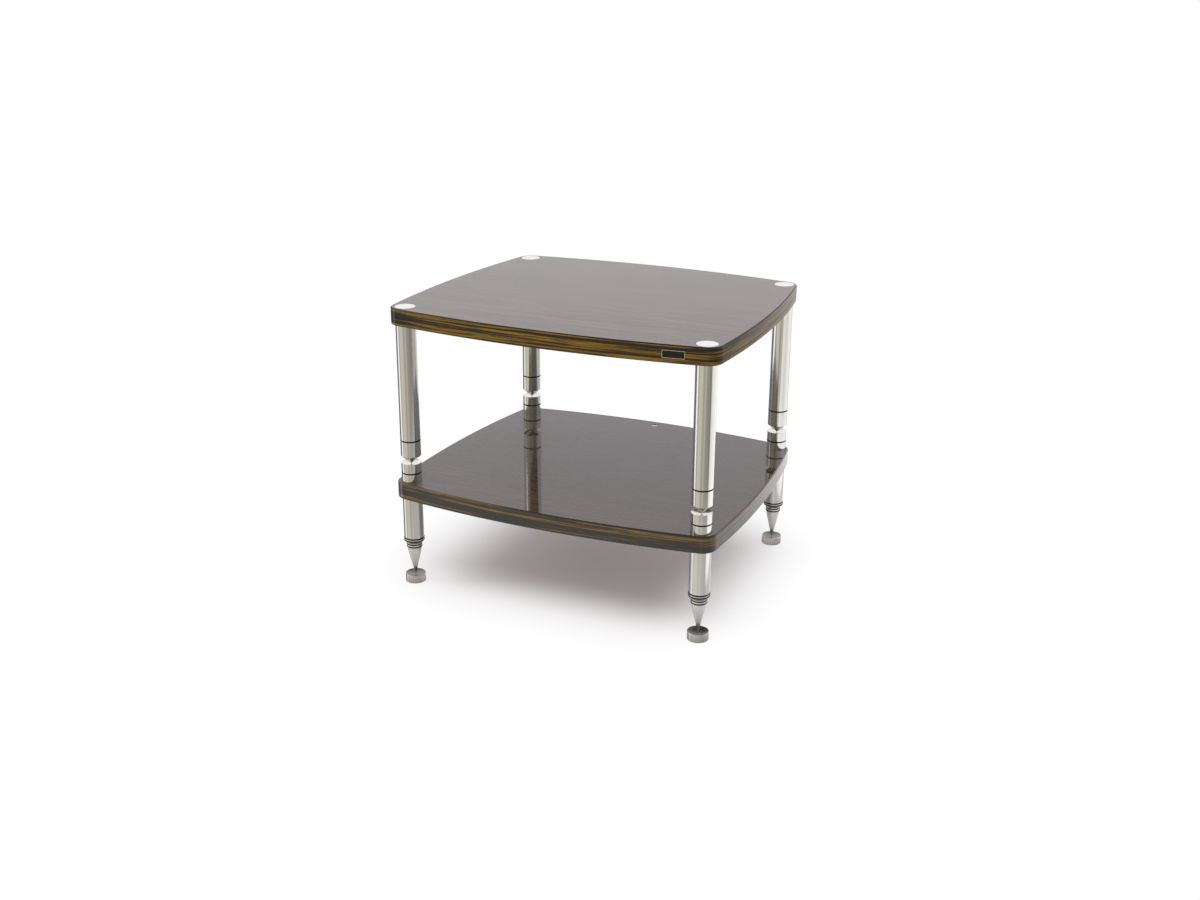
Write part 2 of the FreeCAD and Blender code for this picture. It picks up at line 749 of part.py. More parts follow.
def badge_plate():
    """Bare plate with a raised frame, glued tangent to the bowed front edge of the top shelf."""
    body = doc.addObject("PartDesign::Body", "badge_plate")
    blank = new_sketch(body, "badge_blank", "XZ_Plane")
    draw_outline(blank, centred_rectangle(s.badge_width, s.badge_height))
    plate = body.newObject("PartDesign::Pad", "badge_pad")
    plate.Profile = blank
    bind(plate, "Length", s.badge_thickness)
    doc.recompute()
    across = edge_names(plate, is_across_plate)
    round_edges(body, "badge_corners", plate, across, s.badge_corner_radius)
    field = new_sketch(body, "badge_field", "XZ_Plane", s.badge_thickness)
    frame = 2 * s.badge_frame_width
    draw_outline(field, centred_rectangle(s.badge_width - frame, s.badge_height - frame))
    pocket = body.newObject("PartDesign::Pocket", "badge_field_cut")
    pocket.Profile = field
    bind(pocket, "Length", s.badge_frame_height)
    middle = s.shelf_front_width / 2 - s.badge_side_inset
    radius = bow_radius(s.shelf_front_width, s.front_bow)
    centre = radius - s.shelf_depth / 2 - s.front_bow
    reach = radius + s.badge_glue
    body.setExpression("Placement.Rotation.Angle", f"asin({middle.formula} / {radius.formula})")
    across_glue = Length(
        middle.value * reach.value / radius.value,
        f"({middle.formula} * {reach.formula} / {radius.formula})",
    )
    place(body, across_glue, centre - leg_of(reach, across_glue), at.top_shelf + s.shelf_thickness / 2)
    keep(body, "badge_plate")


# The whole rack

def rack():
    """Builds every sub-part."""
    cap_hole = s.cap_boss_radius + s.stud_hole_slack
    shelf("top_shelf", at.top_shelf, cap_hole, s.cap_thickness)
    lower = shelf("lower_shelf", at.lower_shelf, s.stud_radius + s.stud_hole_slack, s.recess_depth)
    cut_level_recess(lower)
    spirit_level()
    badge_plate()
    hidden = {}
    for corner in CORNERS:
        leg(corner, hidden)
    for label, members in hidden.items():
        group(label, members)
    doc.recompute()


def check():
    """Stops the run if any object failed or any sub-part is not a sound solid."""
    failed = [o.Name for o in doc.Objects if "Invalid" in o.State or "Error" in o.State]
    for label, node in nodes.items():
        shape = node.Shape
        if shape.isNull() or not shape.isValid() or not shape.Solids or shape.Volume <= 0:
            failed.append(label)
    if failed:
        raise SystemExit(f"failed: {failed}")


def write():
    """One STEP file for each sub-part."""
    os.makedirs("parts", exist_ok=True)
    for label, node in nodes.items():
        node.Shape.exportStep(os.path.join("parts", f"{label}.step"))
    print(f"{len(nodes)} sub-parts, {sum(len(n.Shape.Solids) for n in nodes.values())} solids")
    print(f"top deck at {at.top_deck.value:.2f}, lower deck at {at.deck.value:.2f}")


rack()
check()
write()
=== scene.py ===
"""Low two-tier hi-fi rack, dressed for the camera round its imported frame.

Two bowed shelves in gloss-lacquered striped ebony veneer stand on four turned stainless legs. The upper level
rests by four points in four dished cups, and the lower level by four long floor spikes in four loose pads.

Everything is in metres in the frame of the CAD: +Z up, the front towards -Y, the origin on the floor under
the middle. Sizes of the rack's pieces are in millimetres, as a maker writes them, and `mm` turns them to
metres.
"""

from __future__ import annotations

import json
import logging
import math
from dataclasses import dataclass, replace
from enum import Enum
from typing import Any

import bmesh
import bpy
from bmesh.types import BMEdge, BMesh, BMVert
from bpy.types import Node, NodeSocket, NodeTree
from mathutils import Matrix, Vector

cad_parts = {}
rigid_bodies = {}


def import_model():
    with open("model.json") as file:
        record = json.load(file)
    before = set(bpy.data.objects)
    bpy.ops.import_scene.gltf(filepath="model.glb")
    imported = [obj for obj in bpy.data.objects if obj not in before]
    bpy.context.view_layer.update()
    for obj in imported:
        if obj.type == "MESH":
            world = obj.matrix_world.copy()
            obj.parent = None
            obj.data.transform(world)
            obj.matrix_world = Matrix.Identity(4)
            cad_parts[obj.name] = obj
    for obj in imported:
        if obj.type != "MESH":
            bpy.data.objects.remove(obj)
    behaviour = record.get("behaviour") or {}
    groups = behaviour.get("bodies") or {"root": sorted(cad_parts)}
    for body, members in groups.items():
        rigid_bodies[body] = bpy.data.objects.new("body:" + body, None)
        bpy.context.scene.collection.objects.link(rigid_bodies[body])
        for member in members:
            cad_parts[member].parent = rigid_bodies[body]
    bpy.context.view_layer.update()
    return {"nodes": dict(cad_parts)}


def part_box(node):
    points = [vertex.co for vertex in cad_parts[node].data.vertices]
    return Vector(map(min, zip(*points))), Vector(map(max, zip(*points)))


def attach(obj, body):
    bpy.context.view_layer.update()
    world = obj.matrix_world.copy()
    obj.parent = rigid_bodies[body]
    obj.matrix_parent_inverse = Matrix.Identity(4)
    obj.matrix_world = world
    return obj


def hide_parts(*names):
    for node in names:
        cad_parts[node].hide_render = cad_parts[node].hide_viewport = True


log = logging.getLogger("hifi_rack")

IMAGE_WIDTH_PX = 1200
SENSOR_MM = 36.0
FULL_TURN = math.tau
TOUCH = 1e-6
WHITE = "FFFFFF"
AXIS_ATTRIBUTE = "from_axis"

# how much of its normal has to lie along an axis for a face to count as each of these
LEVEL_FACE = 0.9999
FACING = 0.99
DECK_SLOPE = 0.97
ARRIS_SLOPE = 0.3
DISH_SLOPE = 0.8

# faces across a soft or a fine rounding, and facets round a turned piece
SOFT = 2
FINE = 3
ROUND_STEPS = 96

# settings, and names of inputs, that many shader nodes share
NUMBERS = {"data_type": "FLOAT"}
COLOURS = {"data_type": "RGBA"}
SMOOTH = {"interpolation_type": "SMOOTHSTEP"}
TIMES = {"operation": "MULTIPLY"}
LARGER = {"operation": "MAXIMUM"}
DISTANCE = {"operation": "DISTANCE"}
RANGE = ("Value", "From Min", "From Max", "To Min", "To Max")


def mm(value: float) -> float:
    """Millimetres to metres."""
    return value * 0.001


def up(height_mm: float) -> Vector:
    """A step upwards."""
    return Vector((0.0, 0.0, mm(height_mm)))


def linear(colour: str) -> tuple[float, float, float, float]:
    """Turns an sRGB hex colour into the linear values that a shader takes.

    Args:
        colour: six hex digits.

    Returns:
        Linear red, green and blue, and an alpha of one.
    """
    channels = []
    for start in (0, 2, 4):
        coded = int(colour[start : start + 2], 16) / 255
        channels.append(coded / 12.92 if coded <= 0.04045 else ((coded + 0.055) / 1.055) ** 2.4)
    return channels[0], channels[1], channels[2], 1.0


# Shader nodes


def add_node(
    tree: NodeTree,
    kind: str,
    settings: dict[str, Any] | None = None,
    inputs: dict[str | int, Any] | None = None,
    stops: list[tuple[float, str]] | None = None,
) -> Node:
    """Adds one shader node, sets it up and links what feeds it.

    Args:
        tree: the node tree to add to.
        kind: Blender's name of the node type, without its leading ShaderNode.
        settings: the node's own properties by name.
        inputs: for each input, by name or number, a plain value or the output socket that feeds it.
        stops: for a colour ramp, each stop's position and hex colour.

    Returns:
        The new node.
    """
    node = tree.nodes.new(f"ShaderNode{kind}")
    for name, value in (settings or {}).items():
        setattr(node, name, value)
    for name, value in (inputs or {}).items():
        if isinstance(value, NodeSocket):
            tree.links.new(value, node.inputs[name])
        else:
            node.inputs[name].default_value = value
    if stops:
        elements = node.color_ramp.elements
        while len(elements) < len(stops):
            elements.new(1.0)
        for element, (position, colour) in zip(elements, stops):
            element.position = position
            element.color = linear(colour)
    return node


def new_material(name: str) -> bpy.types.Material:
    """Makes a material with an empty node tree.

    Args:
        name: the material's name.

    Returns:
        The material.
    """
    material = bpy.data.materials.new(name)
    material.use_nodes = True
    material.node_tree.nodes.clear()
    return material


# Finishes


@dataclass(frozen=True)
class Finish:
    """A surface finish: its material, and the slot of the record that it stands for."""

    name: str
    slot: str

    def material(self) -> bpy.types.Material:
        """Makes the finish's material, unless it is there already.

        Returns:
            The material.
        """
        found = bpy.data.materials.get(self.name)
        if found is not None:
            return found
        material = new_material(self.name)
        tree = material.node_tree
        shader = add_node(tree, "BsdfPrincipled", inputs=self.surface(tree))
        add_node(tree, "OutputMaterial", inputs={"Surface": shader.outputs["BSDF"]})
        return material

    def surface(self, tree: NodeTree) -> dict[str, Any]:
        """Builds the finish's patterns.

        Args:
            tree: the material's node tree.

        Returns:
            What each input of the finish's shader takes.
        """
        raise NotImplementedError


class Leaf(Enum):
    """Which faces of a shelf a leaf of veneer covers."""

    DECK = "deck"
    EDGE_BAND = "edge band"


@dataclass(frozen=True)
class StripedVeneer(Finish):
    """Macassar ebony veneer, laid with its stripes along the width, under polished polyester lacquer.

    The lacquer is a clear coat like glass: head-on the near-black and golden stripes show through it, and at
    a shallow angle it mirrors the room as a grey veil. The edge bands run round the shelf with level golden
    stripes, and the decks are laid with leaves of a finer stripe.
    """

    slot: str = "striped_veneer"
    leaf: Leaf = Leaf.EDGE_BAND
    dark: str = "171615"
    brown: str = "2E2210"
    gold: str = "74530A"
    pale_gold: str = "86620C"
    gold_from: float = 0.5
    steps_from_gold: tuple[float, ...] = (-0.16, -0.03, 0.0, 0.03, 0.07, 0.1, 0.12, 0.15)
    stripe_mm: float = 4.6
    hair_mm: float = 0.9
    hair_share: float = 0.34
    figure_length_mm: float = 420.0
    shift: float = 0.0
    wood_roughness: tuple[float, float] = (0.42, 0.6)
    wood_shine: float = 0.07
    lacquer: float = 1.0
    lacquer_roughness: float = 0.025
    lacquer_ior: float = 1.55

    def surface(self, tree: NodeTree) -> dict[str, Any]:
        """Stripes run along X on a deck and level round an edge, with finer hair lines inside them."""
        along, across = 1 / mm(self.figure_length_mm), 1 / mm(self.stripe_mm)
        scale = (along, across, along) if self.leaf is Leaf.DECK else (along, along, across)
        here = add_node(tree, "TexCoord").outputs["Object"]
        laid = {"Vector": here, "Location": (self.shift,) * 3, "Scale": scale}
        grain = add_node(tree, "Mapping", inputs=laid).outputs["Vector"]
        waves = {"Vector": grain, "Scale": 1.0, "Detail": 2.0, "Roughness": 0.55, "Distortion": 0.15}
        broad = add_node(tree, "TexNoise", inputs=waves).outputs["Fac"]
        waves |= {"Scale": self.stripe_mm / self.hair_mm, "Detail": 3.0, "Roughness": 0.6, "Distortion": 0.1}
        hairs = add_node(tree, "TexNoise", inputs=waves).outputs["Fac"]
        figure = add_node(tree, "Mix", NUMBERS, {0: self.hair_share, 2: broad, 3: hairs}).outputs[0]
        golds = (self.brown, self.gold, self.pale_gold, self.brown)
        colours = (self.dark, self.dark, *golds, self.dark, self.gold)
        stops = [(self.gold_from + step, colour) for step, colour in zip(self.steps_from_gold, colours)]
        stripes = add_node(tree, "ValToRGB", inputs={"Fac": figure}, stops=stops)
        sheen = add_node(tree, "MapRange", inputs=dict(zip(RANGE, (hairs, 0.0, 1.0, *self.wood_roughness))))
        return {
            "Base Color": stripes.outputs["Color"],
            "Roughness": sheen.outputs[0],
            "Specular IOR Level": self.wood_shine,
            "Coat Weight": self.lacquer,
            "Coat Roughness": self.lacquer_roughness,
            "Coat IOR": self.lacquer_ior,
        }


class Lay(Enum):
    """Which way the fine marks run on a turned piece."""

    ROUND = "round"
    LENGTHWISE = "lengthwise"


@dataclass(frozen=True)
class TurnedSteel(Finish):
    """Stainless steel off the lathe, fine-turned and then satin polished.

    The polish leaves hair lines that soften a reflection a little across them, so the tubes show crisp
    upright bands of the room and the faces of the caps shine almost white. The real lines are finer than a
    tenth of a millimetre, and are drawn as coarse as they need to be to show.
    """

    slot: str = "satin_stainless"
    tint: str = "CFCECC"
    roughness: float = 0.16
    lay: Lay = Lay.ROUND
    mark_mm: float = 0.45
    mark_depth_mm: float = 0.002
    mark_strength: float = 0.6
    marks_a_turn: float = 20.0
    drawn_share: float = 0.01
    smear_mm: float = 1000 / 60
    smear_share: float = 0.5
    gloss_span: tuple[float, float] = (0.3, 0.7)
    least_share: float = 0.75
    most_share: float = 1.3

    def surface(self, tree: NodeTree) -> dict[str, Any]:
        """Hair lines follow the piece's own axis, which the mesh carries as an attribute."""
        place = add_node(tree, "Attribute", {"attribute_name": AXIS_ATTRIBUTE}).outputs["Vector"]
        radius, turn, height = add_node(tree, "SeparateXYZ", inputs={0: place}).outputs
        fine = 1 / mm(self.mark_mm)
        out, rise = (add_node(tree, "Math", TIMES, {0: way, 1: fine}).outputs[0] for way in (radius, height))
        parts = {0: out, 1: 0.0, 2: rise}
        if self.lay is Lay.LENGTHWISE:
            round_marks = {0: turn, 1: self.marks_a_turn / self.mark_mm}
            parts[1] = add_node(tree, "Math", TIMES, round_marks).outputs[0]
            parts[2] = add_node(tree, "Math", TIMES, {0: rise, 1: self.drawn_share}).outputs[0]
        marks_at = add_node(tree, "CombineXYZ", inputs=parts).outputs[0]
        waves = {"Vector": marks_at, "Scale": 1.0, "Detail": 2.0, "Roughness": 0.7}
        marks = add_node(tree, "TexNoise", inputs=waves).outputs["Fac"]
        waves = {"Vector": place, "Scale": 1 / mm(self.smear_mm), "Detail": 2.0}
        smears = add_node(tree, "TexNoise", inputs=waves).outputs["Fac"]
        wear = add_node(tree, "Mix", NUMBERS, {0: self.smear_share, 2: marks, 3: smears}).outputs[0]
        between = (self.roughness * self.least_share, self.roughness * self.most_share)
        gloss = add_node(tree, "MapRange", inputs=dict(zip(RANGE, (wear, *self.gloss_span, *between))))
        relief = {"Strength": self.mark_strength, "Distance": mm(self.mark_depth_mm), "Height": marks}
        return {
            "Base Color": linear(self.tint),
            "Metallic": 1.0,
            "Roughness": gloss.outputs[0],
            "Normal": add_node(tree, "Bump", inputs=relief).outputs[0],
        }


@dataclass(frozen=True)
class PlainMetal(Finish):
    """Metal as it comes from drawing, plating or anodising: a fine even grain with a soft sheen."""

    tint: str = "B9BABC"
    roughness: float = 0.38
    grain_mm: float = 0.8
    metallic: float = 1.0
    shade_share: float = 0.82
    least_share: float = 0.7
    most_share: float = 1.3

    def surface(self, tree: NodeTree) -> dict[str, Any]:
        """A fine cloud varies the sheen and the colour."""
        here = add_node(tree, "TexCoord").outputs["Object"]
        waves = {"Vector": here, "Scale": 1 / mm(self.grain_mm), "Detail": 3.0}
        grain = add_node(tree, "TexNoise", inputs=waves).outputs["Fac"]
        tint = linear(self.tint)
        shade = tuple(channel * self.shade_share for channel in tint[:3]) + (1.0,)
        between = (self.roughness * self.least_share, self.roughness * self.most_share)
        sheen = add_node(tree, "MapRange", inputs=dict(zip(RANGE, (grain, 0.0, 1.0, *between))))
        return {
            "Base Color": add_node(tree, "Mix", COLOURS, {0: grain, 6: shade, 7: tint}).outputs[2],
            "Metallic": self.metallic,
            "Roughness": sheen.outputs[0],
        }


@dataclass(frozen=True)
class RingRubber(Finish):
    """Nitrile rubber, moulded as O-rings: near black, with a dull bloom that catches little light."""

    tint: str = "0B0B0C"
    bloom: str = "161617"
    patch_mm: float = 4.0
    roughness: tuple[float, float] = (0.38, 0.62)
    shine: float = 0.1

    def surface(self, tree: NodeTree) -> dict[str, Any]:
        """The bloom lies in soft patches a few millimetres wide."""
        here = add_node(tree, "TexCoord").outputs["Object"]
        waves = {"Vector": here, "Scale": 1 / mm(self.patch_mm), "Detail": 4.0}
        patches = add_node(tree, "TexNoise", inputs=waves).outputs["Fac"]
        shades = {0: patches, 6: linear(self.tint), 7: linear(self.bloom)}
        sheen = add_node(tree, "MapRange", inputs=dict(zip(RANGE, (patches, 0.0, 1.0, *self.roughness))))
        return {
            "Base Color": add_node(tree, "Mix", COLOURS, shades).outputs[2],
            "Roughness": sheen.outputs[0],
            "Specular IOR Level": self.shine,
        }


@dataclass(frozen=True)
class LevelLiquid(Finish):
    """Tinted spirit in the level: pale, glossy, a little cloudy."""

    clear: str = "F3F4EF"
    tinted: str = "E1E5D6"
    cloud_mm: float = 6.0
    roughness: float = 0.08

    def surface(self, tree: NodeTree) -> dict[str, Any]:
        """The tint deepens in faint clouds."""
        here = add_node(tree, "TexCoord").outputs["Object"]
        waves = {"Vector": here, "Scale": 1 / mm(self.cloud_mm), "Detail": 1.0}
        depth = add_node(tree, "TexNoise", inputs=waves).outputs["Fac"]
        shades = {0: depth, 6: linear(self.clear), 7: linear(self.tinted)}
        colour = add_node(tree, "Mix", COLOURS, shades).outputs[2]
        return {"Base Color": colour, "Roughness": self.roughness}


@dataclass(frozen=True)
class ClearWindow(Finish):
    """Acrylic window, moulded and clear, with the faintest haze from wiping."""

    tint: str = "F4F7F5"
    ior: float = 1.49
    streak_mm: float = 3.0
    haze: tuple[float, float] = (0.0, 0.05)

    def surface(self, tree: NodeTree) -> dict[str, Any]:
        """Wiping leaves the surface a touch rougher in streaks."""
        here = add_node(tree, "TexCoord").outputs["Object"]
        waves = {"Vector": here, "Scale": 1 / mm(self.streak_mm), "Detail": 2.0}
        streaks = add_node(tree, "TexNoise", inputs=waves).outputs["Fac"]
        sheen = add_node(tree, "MapRange", inputs=dict(zip(RANGE, (streaks, 0.0, 1.0, *self.haze))))
        return {
            "Base Color": linear(self.tint),
            "Roughness": sheen.outputs[0],
            "Transmission Weight": 1.0,
            "IOR": self.ior,
        }


TOP_BAND = StripedVeneer(
    "lacquered_ebony_top_band",
    dark="1D1B17",
    gold="7A590A",
    pale_gold="8C680C",
    gold_from=0.485,
    shift=0.037,
    lacquer=0.42,
)
# painted dark reflection: the top shelf's arris takes a darker copy of its band, standing in for the dark
# overhead that the arris mirrors
TOP_ARRIS_PAINTED_REFLECTION = replace(
    TOP_BAND,
    name="lacquered_ebony_top_arris",
    dark="14110F",
    brown="1D160F",
    gold="33260F",
    pale_gold="3A2C10",
)
LOWER_BAND = StripedVeneer("lacquered_ebony_lower_band", dark="202125", gold_from=0.517, shift=0.811)
UNDERSIDE = StripedVeneer("lacquered_ebony_underside", leaf=Leaf.DECK, gold_from=0.47, shift=0.42)
TOP_DECK = StripedVeneer(
    "lacquered_ebony_top_deck",
    leaf=Leaf.DECK,
    dark="2A2119",
    brown="43331F",
    gold="5E4827",
    pale_gold="66502C",
    gold_from=0.51,
    stripe_mm=2.2,
    hair_mm=0.5,
    figure_length_mm=220.0,
    shift=0.037,
)
LOWER_DECK = replace(
    TOP_DECK,
    name="lacquered_ebony_lower_deck",
    dark="31271B",
    brown="3D2F1E",
    gold="4E3C23",
    pale_gold="534026",
    shift=0.811,
)
TUBE_STEEL = TurnedSteel(
    "satin_stainless_tube", roughness=0.13, lay=Lay.LENGTHWISE, mark_mm=1.1, mark_depth_mm=0.014
)
TURNED_STEEL = TurnedSteel("satin_stainless_turned", roughness=0.15)
SPIKE_STEEL = TurnedSteel("satin_stainless_spike", "bright_stainless", tint="D3D2CF", roughness=0.28)
PAD_STEEL = TurnedSteel("bright_stainless_pad", "bright_stainless", tint="D8D6D1", roughness=0.14)
# The dishes' fine-turned marks and roughness are real. Painted shade: the pad's dish is a darker copy of the
# pad's steel, standing in for the dark surroundings that it mirrors.
PAD_DISH_PAINTED_SHADE = TurnedSteel(
    "fine_turned_pad_dish", "bright_stainless", tint="9C9B95", roughness=0.4, mark_mm=0.9, mark_depth_mm=0.006
)
# painted highlight: the cup's dish is a lighter copy of the turned steel; its marks and roughness are real
CUP_DISH_PAINTED_HIGHLIGHT = replace(
    PAD_DISH_PAINTED_SHADE, name="fine_turned_cup_dish", slot="satin_stainless", tint="F4F3EC", roughness=0.22
)
CAP_STEEL = TurnedSteel("satin_stainless_cap", "bright_stainless", tint="FCFDF7", roughness=0.3, mark_mm=0.6)
O_RING = RingRubber("nitrile_o_ring", "ring_rubber")
ZINC = PlainMetal("zinc_plated_stud", "zinc_steel", tint="A9ACB0", roughness=0.42)
PLUG = PlainMetal("turned_aluminium_plug", "plug_aluminium", tint="C6C8CB", roughness=0.35)
LEVEL_CASE = PlainMetal("anodised_level_case", "case_aluminium", tint="C9CACC", roughness=0.3)
BADGE_FRAME = PlainMetal("bright_cut_badge_frame", "badge_metal", tint="D8D8D6", roughness=0.28, grain_mm=0.5)
BADGE_FIELD = replace(BADGE_FRAME, name="black_anodised_badge", tint="22211F", roughness=0.45, metallic=0.6)
SPIRIT = LevelLiquid("tinted_spirit", "level_liquid")
WINDOW = ClearWindow("acrylic_level_window", "level_window")


# Meshes and pieces


def finish_mesh(mesh: BMesh) -> None:
    """Merges doubles, points the faces outwards and smooths them.

    Args:
        mesh: the mesh to finish.
    """
    bmesh.ops.remove_doubles(mesh, verts=mesh.verts, dist=TOUCH)
    bmesh.ops.recalc_face_normals(mesh, faces=mesh.faces)
    for face in mesh.faces:
        face.smooth = True


def bevel_edges(mesh: BMesh, edges: list[BMEdge], width: float, segments: int) -> None:
    """Rounds the given edges.

    Args:
        mesh: the mesh to change.
        edges: its edges to round.
        width: how far the rounding reaches, in metres.
        segments: faces across the rounding.
    """
    bmesh.ops.bevel(
        mesh,
        geom=edges,
        offset=width,
        offset_type="OFFSET",
        segments=segments,
        profile=0.5,
        affect="EDGES",
        clamp_overlap=True,
        material=-1,
    )


def bevel_sharp(mesh: BMesh, width: float, segments: int, from_degrees: float = 24.0) -> None:
    """Rounds every edge that turns by more than an angle.

    Args:
        mesh: the mesh to change.
        width: how far the rounding reaches, in metres.
        segments: faces across the rounding.
        from_degrees: the smallest turn that counts as an edge.
    """
    limit = math.radians(from_degrees)
    sharp = [edge for edge in mesh.edges if len(edge.link_faces) == 2 and edge.calc_face_angle() > limit]
    bevel_edges(mesh, sharp, width, segments)


def sweep(
    mesh: BMesh, parts: list[Any], middle: Vector, angle: float, steps: int, **options: Any
) -> list[Any]:
    """Spins parts of a mesh about an axis, which is upright unless the options say otherwise.

    Args:
        mesh: the mesh that holds the parts.
        parts: its points, edges or faces to spin.
        middle: a point on the axis.
        angle: the whole turn.
        steps: how many steps it takes.
        options: what else the operator is told.

    Returns:
        The parts that the last step made.
    """
    told = {"axis": (0, 0, 1), "dvec": (0, 0, 0), "use_merge": False, **options}
    return bmesh.ops.spin(mesh, geom=parts, cent=middle, angle=angle, steps=steps, **told)["geom_last"]


def only_point(parts: list[Any]) -> BMVert:
    """The one point among parts of a mesh."""
    return next(item for item in parts if isinstance(item, BMVert))


def add_circle(
    mesh: BMesh, radius_mm: float, segments: int, place: Matrix
) -> tuple[list[BMVert], list[BMEdge]]:
    """Adds a circle.

    Args:
        mesh: the mesh to add to.
        radius_mm: its radius.
        segments: its number of sides.
        place: where it lies, and which way it faces.

    Returns:
        Its points and its edges.
    """
    points = bmesh.ops.create_circle(
        mesh, cap_ends=False, radius=mm(radius_mm), segments=segments, matrix=place
    )["verts"]
    return points, list({edge for point in points for edge in point.link_edges})


def pull_down(mesh: BMesh, rim: list[BMEdge], depth: float) -> list[BMEdge]:
    """Draws a wall down from a rim.

    Args:
        mesh: the mesh to change.
        rim: the edges that the wall hangs from.
        depth: its height in metres.

    Returns:
        The wall's lower edges.
    """
    wall = bmesh.ops.extrude_edge_only(mesh, edges=rim)["geom"]
    lower = [item for item in wall if isinstance(item, BMVert)]
    bmesh.ops.translate(mesh, verts=lower, vec=(0, 0, -depth))
    corners = set(lower)
    return [item for item in wall if isinstance(item, BMEdge) and corners.issuperset(item.verts)]


def show(name: str, data: bpy.types.ID) -> bpy.types.Object:
    """Puts mesh, lamp or camera data into the scene.

    Args:
        name: the new object's name.
        data: what it shows.

    Returns:
        The object.
    """
    shown = bpy.data.objects.new(name, data)
    bpy.context.scene.collection.objects.link(shown)
    return shown


def to_data(name: str, mesh: BMesh) -> bpy.types.Mesh:
    """Turns a finished bmesh into mesh data.

    Args:
        name: the data's name.
        mesh: the bmesh, which is freed.

    Returns:
        The mesh data.
    """
    data = bpy.data.meshes.new(name)
    mesh.to_mesh(data)
    mesh.free()
    return data


def make_piece(name: str, mesh: BMesh, finishes: list[Finish], body: str, node: str) -> None:
    """Turns a finished mesh into a piece, at the origin, that stands for its CAD node and rides on its body.

    Args:
        name: the piece's name.
        mesh: the mesh, in place in the frame.
        finishes: one finish for each material index in the mesh.
        body: the CAD body that carries the piece.
        node: the CAD node that it stands for.
    """
    data = to_data(name, mesh)
    piece = show(name, data)
    for finish in finishes:
        data.materials.append(finish.material())
    even = piece.modifiers.new("even_shading", "WEIGHTED_NORMAL")
    even.keep_sharp = True
    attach(piece, body)
    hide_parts(node)
    log.info("%s: %d faces on %s", name, len(data.polygons), body)


def foot_of(node: str) -> Vector:
    """Foot of a node's upright axis."""
    low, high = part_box(node)
    return Vector(((low.x + high.x) / 2, (low.y + high.y) / 2, low.z))


class Lathe:
    """The half section of a turned piece in millimetres, which is then spun about its axis."""

    def __init__(self, *points: tuple[float, float], steps: int = ROUND_STEPS) -> None:
        """Starts a section.

        Args:
            points: the radius and height of each point, with straight cuts between them.
            steps: facets round the finished piece.
        """
        self.steps = steps
        self.mesh = bmesh.new()
        self.last: BMVert | None = None
        for radius, height in points:
            point = self.mesh.verts.new((mm(radius), 0.0, mm(height)))
            if self.last is not None:
                self.mesh.edges.new((self.last, point))
            self.last = point

    def dish(self, depth: float, steps: int = 14) -> Lathe:
        """Cuts a round hollow from the last point down to the axis.

        Args:
            depth: how far the middle lies below the rim.
            steps: facets from the rim to the middle.

        Returns:
            The lathe itself.
        """
        rim, fall = self.last.co.x, mm(depth)
        ball = (rim * rim + fall * fall) / (2 * fall)
        middle = Vector((0.0, 0.0, self.last.co.z - fall + ball))
        reach = math.atan2(rim, ball - fall)
        self.last = only_point(sweep(self.mesh, [self.last], middle, reach, steps, axis=(0, 1, 0)))
        return self

    def close(self) -> Lathe:
        """Joins the last point to the first, for a piece with a bore.

        Returns:
            The lathe itself.
        """
        self.mesh.verts.ensure_lookup_table()
        self.mesh.edges.new((self.last, self.mesh.verts[0]))
        return self

    def turn(self, place: Vector, edge_mm: float, segments: int = SOFT) -> BMesh:
        """Spins the section to the finished piece.

        Each point gets its radius, turn and height on the axis as an attribute for the finish. The turn is
        folded at half a turn, so that it has no jump behind the piece.

        Args:
            place: where the foot of the piece's axis stands.
            edge_mm: rounding of its edges.
            segments: faces across that rounding.

        Returns:
            The mesh in place.
        """
        mesh = self.mesh
        parts = mesh.verts[:] + mesh.edges[:]
        sweep(mesh, parts, Vector(), FULL_TURN, self.steps, use_merge=True)
        bmesh.ops.remove_doubles(mesh, verts=mesh.verts, dist=TOUCH)
        bmesh.ops.recalc_face_normals(mesh, faces=mesh.faces)
        bevel_sharp(mesh, mm(edge_mm), segments)
        finish_mesh(mesh)
        layer = mesh.verts.layers.float_vector.new(AXIS_ATTRIBUTE)
        for vert in mesh.verts:
            out = vert.co
            vert[layer] = (math.hypot(out.x, out.y), abs(math.atan2(out.y, out.x)), out.z)
        bmesh.ops.translate(mesh, verts=mesh.verts, vec=place)
        return mesh


@dataclass(frozen=True)
class RingMould:
    """An O-ring's outer radius and the thickness of its section."""

    outer: float
    thickness: float = 2.5
    sides: int = 16

    def add(self, mesh: BMesh, middle: Vector) -> None:
        """Adds one such ring to a mesh.

        Args:
            mesh: the mesh to add to.
            middle: the ring's middle, in metres.
        """
        section = self.thickness / 2
        at_rim = Matrix.Translation(middle + Vector((mm(self.outer) - mm(section), 0, 0)))
        upright = at_rim @ Matrix.Rotation(math.pi / 2, 4, "X")
        points, edges = add_circle(mesh, section, self.sides, upright)
        sweep(mesh, points + edges, middle, FULL_TURN, ROUND_STEPS, use_merge=True)

    def make_rings(self, node: str, middles: list[Vector], body: str) -> None:
        """Makes one piece of all the rings of a node.

        Args:
            node: the node that they stand for.
            middles: the middle of each ring, in metres.
            body: the body that carries them.
        """
        mesh = bmesh.new()
        for middle in middles:
            self.add(mesh, middle)
        finish_mesh(mesh)
        make_piece(f"{node}_moulded", mesh, [O_RING], body, node)


# The legs


class Corner(Enum):
    """The four corners of the rack, by the ends of their nodes' names."""

    FRONT_LEFT = "front_left"
    FRONT_RIGHT = "front_right"
    REAR_LEFT = "rear_left"
    REAR_RIGHT = "rear_right"


